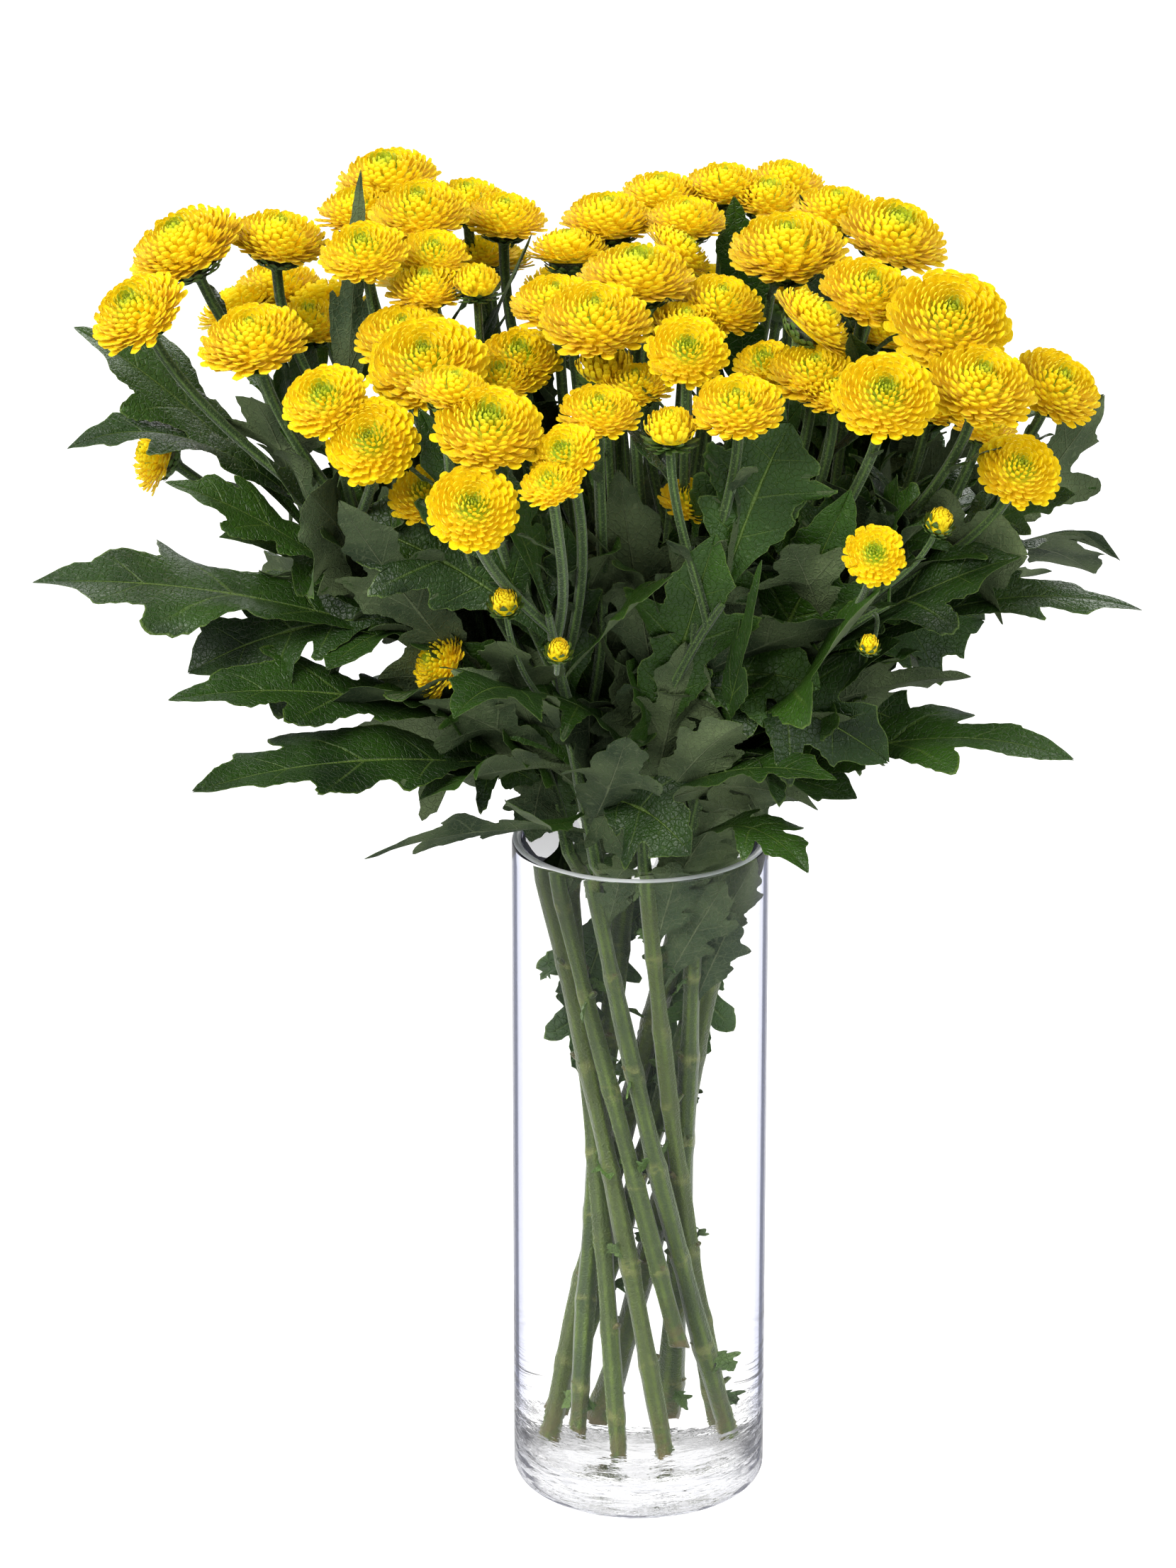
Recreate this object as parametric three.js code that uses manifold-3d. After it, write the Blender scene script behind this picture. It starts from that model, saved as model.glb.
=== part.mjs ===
// Yellow button chrysanthemums in a tall glass cylinder vase filled with water.
//
// Millimetres, +Z up. The origin is the middle of the vase's underside, and the front of the
// bouquet faces -Y. Ten cut spray stems cross in the vase like a sheaf, fan out over the brim and
// split into side stalks, each with a calyx cup that carries one flower head.
//
// Flower heads and leaf tips are placed by where they show in the front view: a column and a row
// of the VIEW grid, and a depth in millimetres behind the vase's axis.

import * as THREE from 'three';
import { mergeVertices } from 'three/addons/utils/BufferGeometryUtils.js';
import Module from 'manifold-3d';

const wasm = await Module();
wasm.setup();

// ---- driving dimensions ----------------------------------------------------------------------

const GAP = 0.3;                    // clearance between pieces that touch
const VASE_RADIUS = 50;
const VASE_HEIGHT = 270;
const WALL = 3.8;
const FLOOR = 14;                   // thickness of the vase's glass floor
const WATER_TOP = 267;
const FOOT_CORNER = 6;              // round outer corner at the vase's foot
const FLOOR_CORNER = 5;             // inner corner between its wall and its floor
const ROUND_SIDES = 26;             // flats that stand for the vase's round wall
const STEM_SIDES = 6;
const STALK_SIDES = 4;
const STEM_RADIUS = 3;              // at the cut end
const STEM_TAPER = 0.5;             // how much thinner a stem is at its crown
const STEM_BEND = 0.45;             // pull of the straight stretch on the bend over the brim
const STALK_RADIUS = 2;             // side stalks
const SLIM_STALK = 0.085;           // of a small head's diameter, where that is thinner
const FOOT_RING = 27;               // radius of the ring that the cut ends stand on
const MOUTH_RING = 31;              // radius of the ring where the stems leave the vase
const HALF_TWIST = 64;              // degrees from a stem's waist to its foot, and to the mouth
const MOUTH_HEIGHT = 276;
const HIGHEST_STALK = 380;          // height where the first side stalk leaves its stem
const STALK_STEP = 9;               // each next one leaves this much lower
const LOWEST_STALK = 290;
const STALK_SLOPE = 1.3;            // how much more along its stem than across a stalk sets out
const ROOT_PULL = 0.26;             // length of a stalk's first bend, as a share of its span
const HEAD_PULL = 0.36;             // and of its last bend, below the head
const CALYX_RADIUS = 0.26;          // of a head's diameter
const CALYX_LENGTH = 0.2;           // of a head's diameter
const HEAD_HEIGHT = 0.40;           // of a head's diameter
const HEAD_DIP = 0.88;              // the middle of a head's top, as a share of its height
const SMALL_HEAD = 35;              // below this diameter a head has one layer of petals less
const BUTTON_HEIGHT = 0.66;         // of a half-open head's diameter
const BUD_SINK = 1.5;               // how deep a closed bud's stalk runs into it
const PETALS = 7;                   // in each of a head's layers
const RIB_THICKNESS = 0.9;          // half of a blade's thickness along its rib
const BLADE_DROOP = 0.16;           // how far a blade's edge hangs, as a share of its half width
const ARCH_SHARES = [0.33, 0.7];    // where along a blade its arch is pulled up
const BLOOM_NODES = 48;             // heads that press deepest are fused until this many are left
const LEAST_PRESS = 5;              // cubic millimetres that two pressing heads share

const VIEW = { columns: 1659, rows: 2212, focal: 9364, pitch: 20.07, yaw: 0.482 };
const EYE = new THREE.Vector3(0, -2400, 1168);

// ---- the plants ------------------------------------------------------------------------------

// Each spray stem: the bearing of its waist in the sheaf, the height of its cut end, and its crown,
// where the last side stalks leave it.
const STEMS = {
  a: { waist: -98, foot: 62, crown: [-116, -28, 384] },
  b: { waist: -62, foot: 18, crown: [-34, -84, 388] },
  c: { waist: -24, foot: 16, crown: [30, -78, 390] },
  d: { waist: 12, foot: 17, crown: [92, -60, 384] },
  e: { waist: 47, foot: 15.5, crown: [134, -4, 392] },
  f: { waist: 84, foot: 22, crown: [104, 52, 400] },
  g: { waist: 120, foot: 16, crown: [42, 84, 402] },
  h: { waist: 156, foot: 24, crown: [-26, 82, 402] },
  i: { waist: 192, foot: 17, crown: [-88, 58, 400] },
  j: { waist: 227, foot: 19, crown: [-134, 18, 390] },
};

// Each open head: column, row, depth, diameter, lean to the right and turn to the front in degrees.
const HEADS = [
  [255, 335, 30, 46, -25, 10], [188, 432, -15, 39, -30, 22], [395, 326, 42, 39, 8, 5],
  [392, 393, 96, 35, -5, 5], [355, 468, -28, 42, -12, 16], [436, 446, 66, 32, 0, 10],
  [212, 638, 28, 31, -70, 10], [545, 240, 80, 40, -8, 8], [505, 288, 60, 34, -5, 5],
  [590, 288, 42, 39, -5, 16], [512, 347, -4, 34, -8, 22], [660, 275, 88, 32, 0, 5],
  [713, 298, 68, 33, 4, 8], [612, 352, 12, 28, 4, 22], [600, 398, -4, 30, -2, 10],
  [683, 348, 92, 28, 0, 0], [803, 343, 52, 33, 0, -8], [858, 298, 72, 38, 0, 2],
  [932, 266, 102, 34, 0, 3], [1022, 253, 110, 34, 0, 3], [1112, 248, 122, 31, 8, 3],
  [1085, 272, 104, 32, 4, 4], [968, 301, 66, 33, 0, 4], [965, 350, 48, 31, 42, -8],
  [900, 376, 0, 43, 2, 6], [785, 418, -21, 36, -3, 12], [840, 440, -42, 42, 0, 20],
  [866, 384, 18, 30, 0, 5], [1018, 420, 0, 35, 10, 16], [970, 490, -62, 31, 2, 44],
  [968, 452, -14, 32, 4, 10], [896, 536, -46, 28, 0, 10], [1180, 288, 68, 35, 4, 6],
  [1265, 320, 47, 43, 18, 14], [1112, 338, 26, 46, -2, 12], [1228, 403, -4, 37, 14, 22],
  [1155, 445, -22, 35, 42, -4], [1342, 443, -26, 47, 8, 36], [1385, 533, -52, 43, 10, 24],
  [1495, 537, -12, 37, 26, 24], [1150, 518, -34, 35, 4, 20], [1250, 552, -78, 38, 2, 42],
  [1078, 508, -22, 26, -10, 22], [1040, 565, -86, 35, -4, 22], [1260, 462, 60, 30, 5, 0],
  [1318, 562, -8, 28, 10, 10], [1392, 592, -18, 27, 20, 10], [1178, 546, -42, 27, 0, 14],
  [1440, 658, -56, 32, 14, 40], [1234, 780, -100, 24, 0, 52], [457, 558, -70, 33, -14, 34],
  [570, 465, -24, 38, -5, 18], [600, 503, -46, 45, -8, 32], [640, 542, -80, 32, 10, 2],
  [733, 498, -22, 32, 0, 26], [705, 528, -34, 28, 0, 14], [690, 595, -98, 41, 4, 28],
  [522, 618, -83, 35, -14, 52], [600, 690, -58, 29, -8, 30], [667, 712, -122, 34, 4, 50],
  [793, 636, -104, 27, -24, 36], [775, 678, -116, 24, -10, 20], [845, 573, -78, 31, 0, 18],
  [975, 700, -52, 24, 10, 20], [612, 932, -40, 29, -62, 20],
  // the side that the front view hides
  [332, 424, 88, 35, -24, -14], [452, 418, 92, 37, -12, -22], [596, 376, 112, 38, -6, -24],
  [690, 358, 108, 35, -2, -20], [798, 394, 124, 38, -4, -24], [898, 405, 136, 38, 2, -34],
  [998, 396, 126, 38, 6, -28], [1102, 410, 136, 39, 12, -32], [1232, 420, 82, 36, 14, -14],
  [1330, 446, 78, 36, 26, -10],
];

// Half-open buttons, whose petals still stand up: the same six values.
const BUTTONS = [
  [673, 398, -8, 18, 0, 6], [853, 516, -36, 22, -4, 6], [946, 604, -88, 20, 2, 8],
];

// Closed buds, which are one piece with their stem: the same six values.
const BUDS = [
  [1325, 737, -66, 13, 22, 12], [712, 850, -92, 13, -6, 26], [788, 917, -112, 11, 8, 30],
  [1226, 910, -98, 9.5, 12, 16],
];

const UP = [0, -0.35, 1];           // a blade that shows its upper side from the front
const DOWN = [0, 0.75, 0.6];        // a blade that shows its underside from the front
const FRONT = [0, -1, 0.3];
const REAR = [0, 1, 0.25];
const LEFT = [-1, -0.5, 0.3];
const RIGHT = [1, -0.5, 0.3];

// Each large leaf: stem, height where it leaves the stem, then the column, row and depth of its
// tip, half of its width, its arch, and the way that its upper side faces.
const LEAVES = [
  ['a', 350, 46, 822, -20, 29, 12, UP], ['a', 312, 237, 988, -52, 24, 14, UP],
  ['a', 299, 271, 1117, -86, 27, 12, UP], ['b', 281, 514, 1212, -74, 13, 8, DOWN],
  ['j', 356, 309, 758, -36, 20, 8, UP], ['j', 386, 104, 462, 18, 24, 10, UP],
  ['j', 378, 95, 633, -4, 17, 30, UP], ['a', 372, 233, 680, -40, 18, 8, UP],
  ['a', 366, 372, 640, -66, 24, -6, DOWN], ['a', 330, 478, 706, -88, 25, -6, DOWN],
  ['b', 366, 590, 574, -78, 17, -4, FRONT], ['a', 384, 509, 238, 24, 9, -6, REAR],
  ['i', 398, 750, 330, 22, 9, 0, RIGHT], ['g', 400, 1035, 276, 58, 15, 4, FRONT],
  ['f', 398, 1128, 274, 74, 12, 4, UP], ['f', 396, 1200, 470, -34, 16, 2, FRONT],
  ['e', 386, 1558, 556, 8, 22, -8, DOWN], ['e', 374, 1517, 698, -14, 17, 10, UP],
  ['e', 352, 1484, 806, 34, 18, 6, DOWN], ['d', 350, 1441, 785, -54, 25, 8, UP],
  ['d', 338, 1611, 861, -30, 15, 26, UP], ['d', 316, 1370, 955, -34, 16, 10, DOWN],
  ['d', 284, 1515, 1072, -66, 21, 26, UP], ['d', 277, 1140, 1232, -74, 15, 16, UP],
  ['d', 306, 1242, 833, -92, 29, -4, UP], ['c', 312, 1010, 752, -116, 27, 0, FRONT],
  ['c', 352, 1100, 548, -66, 25, -6, REAR], ['c', 338, 872, 662, -62, 21, -6, REAR],
  ['b', 314, 640, 1014, -112, 23, 26, UP], ['b', 290, 712, 1128, -86, 11, -10, UP],
  ['b', 283, 884, 1040, -84, 19, -4, REAR], ['c', 284, 1048, 1022, -84, 16, 8, REAR],
  ['c', 282, 968, 905, -66, 20, -4, REAR], ['d', 281, 1058, 1158, -38, 17, 10, DOWN],
  ['d', 300, 1075, 790, -104, 13, -12, LEFT], ['b', 330, 800, 742, -70, 15, 0, FRONT],
  ['a', 300, 700, 905, -94, 20, 6, DOWN], ['d', 322, 1200, 690, -70, 24, -4, REAR],
  ['b', 300, 590, 990, -48, 20, 8, DOWN], ['d', 296, 1270, 905, -64, 24, 6, UP],
  ['b', 352, 950, 812, -98, 15, 4, UP], ['c', 296, 1180, 1100, -96, 15, 12, UP],
];

// Leaves of the sides that the front view hides follow a rule: ranges of seeded random draws.
const HIDDEN_LEAVES = {
  stems: ['f', 'g', 'h', 'i'],
  heights: [296, 330, 366],         // where they leave their stem
  centre: -20,                      // y of the point that they spread away from
  fan: 1.1,                         // radians between the outermost bearings on one stem
  length: [85, 120],
  rise: [0.05, 0.55],               // of the length
  halfWidth: [20, 28],
  arch: 12,
  faceUp: 1.6,
};
const SEED = 11;

// Half of a leaf's outline: distance along the rib and from it, as shares of length and half
// width, and the rib point that the next stretch of edge is joined to.
const RIB_POINTS = [0, 0.34, 0.58, 0.82];
const LEAF_EDGE = [
  [0, 0.07, 0], [0.22, 0.09, 1], [0.5, 0.66, 1], [0.49, 0.28, 2],
  [0.75, 1, 2], [0.74, 0.46, 3], [0.91, 0.6, 3],
];

// ---- small helpers ---------------------------------------------------------------------------

const radians = THREE.MathUtils.degToRad;
const vector = (values) => new THREE.Vector3(...values);

// The point at a column and a row of the front view, in the upright plane at a depth.
function sight(column, row, depth) {
  const pitch = radians(VIEW.pitch);
  const yaw = radians(VIEW.yaw);
  const right = (column - VIEW.columns / 2) / VIEW.focal;
  const up = (VIEW.rows / 2 - row) / VIEW.focal;
  const ahead = Math.cos(pitch) + up * Math.sin(pitch);
  const direction = new THREE.Vector3(
    right * Math.cos(yaw) - ahead * Math.sin(yaw),
    right * Math.sin(yaw) + ahead * Math.cos(yaw),
    up * Math.cos(pitch) - Math.sin(pitch),
  );
  return direction.multiplyScalar((depth - EYE.y) / direction.y).add(EYE);
}

// A repeatable random number from 0 to 1 for each index.
function draw(index) {
  const value = Math.sin((index + SEED) * 12.9898) * 43758.5453;
  return value - Math.floor(value);
}

const drawFrom = (index, [low, high]) => low + (high - low) * draw(index);

// Turns a three.js geometry into an exact solid, for joining and cutting.
function solidOf(geometry) {
  geometry.deleteAttribute('normal');
  geometry.deleteAttribute('uv');
  const merged = mergeVertices(geometry, 1e-4);
  const corners = merged.index.array;
  const triangles = [];
  for (let i = 0; i < corners.length; i += 3) {
    const [p, q, r] = corners.slice(i, i + 3);
    if (p !== q && q !== r && r !== p) {
      triangles.push(p, q, r);
    }
  }
  return new wasm.Manifold(new wasm.Mesh({
    numProp: 3,
    vertProperties: new Float32Array(merged.attributes.position.array),
    triVerts: new Uint32Array(triangles),
  }));
}

function geometryOf(solid) {
  const mesh = solid.getMesh();
  const geometry = new THREE.BufferGeometry();
  geometry.setAttribute('position', new THREE.BufferAttribute(mesh.vertProperties, 3));
  geometry.setIndex(new THREE.BufferAttribute(mesh.triVerts, 1));
  return geometry;
}

const joined = (solids) => solids.reduce((sum, solid) => sum.add(solid));

// The largest body of a solid: a cut can leave loose scraps.
function largestBody(solid) {
  const bodies = solid.decompose();
  return bodies.reduce((best, body) => (body.volume() > best.volume() ? body : best));
}

// The solid of a geometry with its faces pointing out, whichever way its triangles ran.
function outward(geometry) {
  const solid = solidOf(geometry);
  if (solid.volume() > 0) {
    return solid;
  }
  const index = geometry.index.array;
  for (let i = 0; i < index.length; i += 3) {
    [index[i], index[i + 1]] = [index[i + 1], index[i]];
  }
  return solidOf(geometry);
}

// A closed shape turned about +Z from [radius, height] points that start and end on the axis.
function turned(profile, sides) {
  const lathe = new THREE.LatheGeometry(profile.map(([r, z]) => new THREE.Vector2(r, z)), sides);
  return lathe.rotateX(Math.PI / 2);
}

// A tapering round stalk along a curve: rings of [share of the length, radius], closed at both
// ends. It is a lathe solid that is then laid along the curve.
function stalkAlong(curve, rings, sides, grow = 0) {
  const first = rings[0][0];
  const last = rings[rings.length - 1][0];
  const profile = [[0, first], ...rings.map(([share, radius]) => [radius + grow, share]), [0, last]];
  const geometry = turned(profile, sides);
  const frameSteps = 24;
  const frames = curve.computeFrenetFrames(frameSteps);
  const position = geometry.attributes.position;
  const point = new THREE.Vector3();
  for (let i = 0; i < position.count; i += 1) {
    const share = THREE.MathUtils.clamp(position.getZ(i), 0, 1);
    const step = Math.round(share * frameSteps);
    point.copy(curve.getPointAt(share));
    point.addScaledVector(frames.normals[step], position.getX(i));
    point.addScaledVector(frames.binormals[step], position.getY(i));
    if (step === 0) {
      point.addScaledVector(frames.tangents[step], -grow);
    }
    position.setXYZ(i, point.x, point.y, point.z);
  }
  return outward(geometry);
}

// ---- stems and stalks ------------------------------------------------------------------------

// A spray stem is straight in the vase, then bends out over the brim to its crown.
function stemCurve({ waist, foot, crown }) {
  const footAngle = radians(waist + HALF_TWIST);
  const mouthAngle = radians(waist - HALF_TWIST);
  const onRing = (radius, angle, z) => (
    new THREE.Vector3(radius * Math.cos(angle), radius * Math.sin(angle), z)
  );
  const floorPoint = onRing(FOOT_RING, footAngle, FLOOR + 2);
  const mouth = onRing(MOUTH_RING, mouthAngle, MOUTH_HEIGHT);
  const straight = mouth.clone().sub(floorPoint).normalize();
  const start = floorPoint.clone().addScaledVector(straight, (foot - FLOOR - 2) / straight.z);
  const top = vector(crown);
  const bend = mouth.clone().addScaledVector(straight, STEM_BEND * mouth.distanceTo(top));
  const path = new THREE.CurvePath();
  path.add(new THREE.LineCurve3(start, mouth));
  path.add(new THREE.QuadraticBezierCurve3(mouth, bend, top));
  return path;
}

// The point of a stem at a height.
function stemAt(curve, height) {
  let low = 0;
  let high = 1;
  for (let i = 0; i < 30; i += 1) {
    const middle = (low + high) / 2;
    if (curve.getPointAt(middle).z < height) {
      low = middle;
    } else {
      high = middle;
    }
  }
  return { point: curve.getPointAt(low), along: curve.getTangentAt(low) };
}

// One long straight stretch up to the mouth, then a ring every few centimetres of the bend.
function stemSolid(curve, grow = 0) {
  const shares = [0, 0.66, 0.76, 0.84, 0.92, 1];
  const rings = shares.map((share) => [share, STEM_RADIUS - STEM_TAPER * share]);
  return stalkAlong(curve, rings, STEM_SIDES, grow);
}

// The way that a head faces, from its lean to the right and its turn to the front.
function facing(lean, turn) {
  const a = radians(lean);
  const b = radians(turn);
  return new THREE.Vector3(
    Math.sin(a) * Math.cos(b),
    -Math.sin(b),
    Math.cos(a) * Math.cos(b),
  );
}

// A head's seat is the middle of its underside. Its dome's middle lies at the sight point.
function headFrom([column, row, depth, diameter, lean, turn], form) {
  const axis = facing(lean, turn);
  const middle = sight(column, row, depth);
  const seat = middle.clone().addScaledVector(axis, -0.5 * HEAD_HEIGHT * diameter);
  return { axis, seat, diameter, form };
}

// How far out a head stands: the bouquet is wider than it is deep.
const reachOf = (head) => Math.hypot(head.seat.x, head.seat.y * 1.5);

// Side stalks leave their stem one below the other, the outermost head's first.
function stalkCurve(head, curve, rank) {
  const height = Math.max(LOWEST_STALK, HIGHEST_STALK - STALK_STEP * rank);
  const root = stemAt(curve, height);
  const top = head.seat.clone().addScaledVector(head.axis, head.form === 'bud' ? BUD_SINK : -GAP);
  const span = root.point.distanceTo(top);
  const across = top.clone().sub(root.point).projectOnPlane(root.along).normalize();
  const leaving = across.addScaledVector(root.along, STALK_SLOPE).normalize();
  const lower = root.point.clone().addScaledVector(leaving, ROOT_PULL * span);
  const below = head.axis.clone().add(new THREE.Vector3(0, 0, 0.5)).normalize();
  const upper = top.clone().addScaledVector(below, -HEAD_PULL * span);
  return new THREE.CubicBezierCurve3(root.point, lower, upper, top);
}

function stalkSolid(head, curve, grow = 0) {
  const radius = Math.min(STALK_RADIUS, SLIM_STALK * head.diameter);
  const neck = 1 - CALYX_LENGTH * head.diameter / curve.getLength();
  const calyx = CALYX_RADIUS * head.diameter;
  const rings = [[0, radius], [0.45, radius], [neck, radius], [1, calyx]];
  return stalkAlong(curve, rings, STALK_SIDES, grow);
}

// ---- flower heads ----------------------------------------------------------------------------

// Layers of petals, each a ring of tips and valleys turned by half a petal from the one below:
// [radius of the tips, radius of the valleys, height of the tips, height of the valleys], as
// shares of the head's radius and height.
const OPEN_LAYERS = [[1, 0.72, 0.24, 0.34], [0.8, 0.56, 0.62, 0.76], [0.46, 0.32, 0.98, 0.9]];
const SMALL_LAYERS = [[1, 0.72, 0.26, 0.36], [0.7, 0.46, 0.8, 0.9]];
const BUTTON_LAYERS = [[0.98, 0.84, 0.5, 0.42], [0.8, 0.62, 0.98, 0.9]];

function headSolid({ axis, seat, diameter, form }, grow = 0) {
  const openLayers = diameter < SMALL_HEAD ? SMALL_LAYERS : OPEN_LAYERS;
  const layers = form === 'open' ? openLayers : BUTTON_LAYERS;
  const radius = diameter / 2;
  const height = (form === 'open' ? HEAD_HEIGHT : BUTTON_HEIGHT) * diameter;
  const rings = layers.map((layer) => [radius * layer[0], height * layer[2]]);
  const geometry = turned([[0, 0], ...rings, [0, HEAD_DIP * height]], 2 * PETALS);
  const position = geometry.attributes.position;
  const perColumn = layers.length + 2;
  for (let i = 0; i < position.count; i += 1) {
    const row = i % perColumn;
    const column = Math.floor(i / perColumn);
    if (row > 0 && row <= layers.length) {
      const [tipRadius, valleyRadius, tipHeight, valleyHeight] = layers[row - 1];
      const isTip = (column + row) % 2 === 0;
      const factor = isTip ? 1 : valleyRadius / tipRadius;
      const angle = Math.PI * column / PETALS;
      const reach = factor * radius * tipRadius + grow;
      position.setXYZ(
        i,
        reach * Math.sin(angle),
        -reach * Math.cos(angle),
        height * (isTip ? tipHeight : valleyHeight) + grow * (row - 1),
      );
    } else {
      position.setZ(i, position.getZ(i) + (row === 0 ? -grow : grow));
    }
  }
  const turn = new THREE.Quaternion().setFromUnitVectors(new THREE.Vector3(0, 0, 1), axis);
  geometry.applyQuaternion(turn);
  geometry.translate(seat.x, seat.y, seat.z);
  return outward(geometry);
}

// ---- leaves ----------------------------------------------------------------------------------

// A lobed and toothed blade. Both faces have the same triangles, and meet in its edge.
function leafSolid(root, tip, halfWidth, arch, face, grow = 0) {
  const span = tip.clone().sub(root);
  const rise = new THREE.Vector3(0, 0, arch);
  const [lower, upper] = ARCH_SHARES.map((share) => (
    root.clone().addScaledVector(span, share).add(rise)
  ));
  const curve = new THREE.CubicBezierCurve3(root, lower, upper, tip);
  const facingWay = vector(face);
  const frameAt = (share) => {
    const along = curve.getTangent(share);
    const side = new THREE.Vector3().crossVectors(along, facingWay).normalize();
    const normal = new THREE.Vector3().crossVectors(side, along);
    return { point: curve.getPoint(share), side, normal, along };
  };
  const corners = [];
  const pairOf = (point, normal, half) => {
    const top = point.clone().addScaledVector(normal, half);
    const bottom = point.clone().addScaledVector(normal, -half);
    corners.push(...top.toArray(), ...bottom.toArray());
    return corners.length / 3 - 2;
  };
  const rib = RIB_POINTS.map((share) => {
    const at = frameAt(share);
    return pairOf(at.point, at.normal, RIB_THICKNESS + grow);
  });
  const faces = [];
  const wall = (p, q) => faces.push(p, p + 1, q, q, p + 1, q + 1);
  const plate = (p, q, r) => faces.push(p, q, r, p + 1, r + 1, q + 1);
  const last = frameAt(1);
  const end = pairOf(last.point.addScaledVector(last.along, grow), last.normal, grow);
  const edges = [-1, 1].map((sign) => LEAF_EDGE.map(([share, width]) => {
    const at = frameAt(share);
    const reach = sign * (halfWidth * width + grow);
    const droop = -BLADE_DROOP * halfWidth * width * width;
    const point = at.point.addScaledVector(at.side, reach).addScaledVector(at.normal, droop);
    return pairOf(point, at.normal, grow);
  }));
  edges.forEach((edge, which) => {
    const flip = which === 0;
    const put = (p, q, r) => (flip ? plate(p, r, q) : plate(p, q, r));
    let current = 0;
    edge.forEach((corner, i) => {
      const joint = LEAF_EDGE[i][2];
      if (joint !== current) {
        put(corner, rib[joint], rib[current]);
        current = joint;
      }
      const next = i + 1 < edge.length ? edge[i + 1] : end;
      put(corner, next, rib[current]);
      if (flip) {
        wall(next, corner);
      } else {
        wall(corner, next);
      }
    });
  });
  faces.push(edges[0][0], edges[0][0] + 1, rib[0], rib[0], edges[0][0] + 1, rib[0] + 1);
  faces.push(rib[0], rib[0] + 1, edges[1][0], edges[1][0], rib[0] + 1, edges[1][0] + 1);
  const geometry = new THREE.BufferGeometry();
  geometry.setAttribute('position', new THREE.Float32BufferAttribute(corners, 3));
  geometry.setIndex(faces);
  return outward(geometry);
}

// ---- the vase and its water ------------------------------------------------------------------

function vaseSolid() {
  const bore = VASE_RADIUS - WALL;
  const cut = 0.3 * FOOT_CORNER;    // where the middle of the round corner lies
  const profile = [
    [0, 0], [VASE_RADIUS - FOOT_CORNER, 0], [VASE_RADIUS - cut, cut], [VASE_RADIUS, FOOT_CORNER],
    [VASE_RADIUS, VASE_HEIGHT], [bore, VASE_HEIGHT],
    [bore, FLOOR + FLOOR_CORNER], [bore - FLOOR_CORNER, FLOOR], [0, FLOOR],
  ];
  return outward(turned(profile, ROUND_SIDES));
}

function waterSolid(stems) {
  const radius = VASE_RADIUS - WALL - GAP;
  const bottom = FLOOR + GAP;
  const profile = [
    [0, bottom], [radius - FLOOR_CORNER, bottom], [radius, bottom + FLOOR_CORNER],
    [radius, WATER_TOP], [0, WATER_TOP],
  ];
  const filled = outward(turned(profile, ROUND_SIDES));
  const holes = joined(stems.map((stem) => stemSolid(stem.curve, GAP)));
  return largestBody(filled.subtract(holes));
}

// The space that the leaves stay out of: the vase filled up, with its clearance.
function vaseKeepOut() {
  const radius = VASE_RADIUS + GAP;
  const top = VASE_HEIGHT + GAP;
  return outward(turned([[0, -GAP], [radius, -GAP], [radius, top], [0, top]], ROUND_SIDES));
}

// ---- assembly --------------------------------------------------------------------------------

const stems = Object.entries(STEMS).map(([letter, values]) => ({
  letter,
  crown: vector(values.crown),
  curve: stemCurve(values),
  heads: [],
  leaves: [],
}));
const stemNamed = (letter) => stems.find((stem) => stem.letter === letter);

const heads = [
  ...HEADS.map((values) => headFrom(values, 'open')),
  ...BUTTONS.map((values) => headFrom(values, 'button')),
];
const buds = BUDS.map((values) => headFrom(values, 'bud'));

// A head grows from the stem whose crown is nearest in plan.
[...heads, ...buds].forEach((head) => {
  const away = (stem) => Math.hypot(stem.crown.x - head.seat.x, stem.crown.y - head.seat.y);
  const stem = stems.reduce((best, other) => (away(other) < away(best) ? other : best));
  stem.heads.push(head);
});
stems.forEach((stem) => {
  stem.heads.sort((p, q) => reachOf(q) - reachOf(p));
  stem.heads.forEach((head, rank) => {
    head.stalk = stalkCurve(head, stem.curve, rank);
  });
});

LEAVES.forEach(([letter, height, column, row, depth, halfWidth, arch, face]) => {
  const stem = stemNamed(letter);
  const root = stemAt(stem.curve, height).point;
  stem.leaves.push([root, sight(column, row, depth), halfWidth, arch, face]);
});

HIDDEN_LEAVES.stems.forEach((letter, i) => {
  const stem = stemNamed(letter);
  const outwards = Math.atan2(stem.crown.y - HIDDEN_LEAVES.centre, stem.crown.x);
  HIDDEN_LEAVES.heights.forEach((height, k) => {
    const pick = 10 * i + 3 * k;
    const root = stemAt(stem.curve, height).point;
    const bearing = outwards + HIDDEN_LEAVES.fan * (draw(pick) - 0.5);
    const level = [Math.cos(bearing), Math.sin(bearing)];
    const length = drawFrom(pick + 1, HIDDEN_LEAVES.length);
    const rise = drawFrom(pick + 2, HIDDEN_LEAVES.rise);
    const tip = root.clone().addScaledVector(vector([...level, rise]), length);
    const halfWidth = drawFrom(pick + 3, HIDDEN_LEAVES.halfWidth);
    const face = [-level[0], -level[1], HIDDEN_LEAVES.faceUp];
    stem.leaves.push([root, tip, halfWidth, HIDDEN_LEAVES.arch, face]);
  });
});

// Stems and stalks come first, then heads, and leaves give way to both.
function woodOf(stem, grow) {
  const stalks = stem.heads.map((head) => stalkSolid(head, head.stalk, grow));
  const ownBuds = stem.heads.filter((head) => head.form === 'bud');
  const budSolids = ownBuds.map((bud) => headSolid(bud, grow));
  return joined([stemSolid(stem.curve, grow), ...stalks, ...budSolids]);
}

stems.forEach((stem) => {
  stem.wood = woodOf(stem, 0);
  stem.fatWood = woodOf(stem, GAP);
  stems.slice(0, stems.indexOf(stem)).forEach((earlier) => {
    stem.wood = largestBody(stem.wood.subtract(earlier.fatWood));
  });
});

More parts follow.
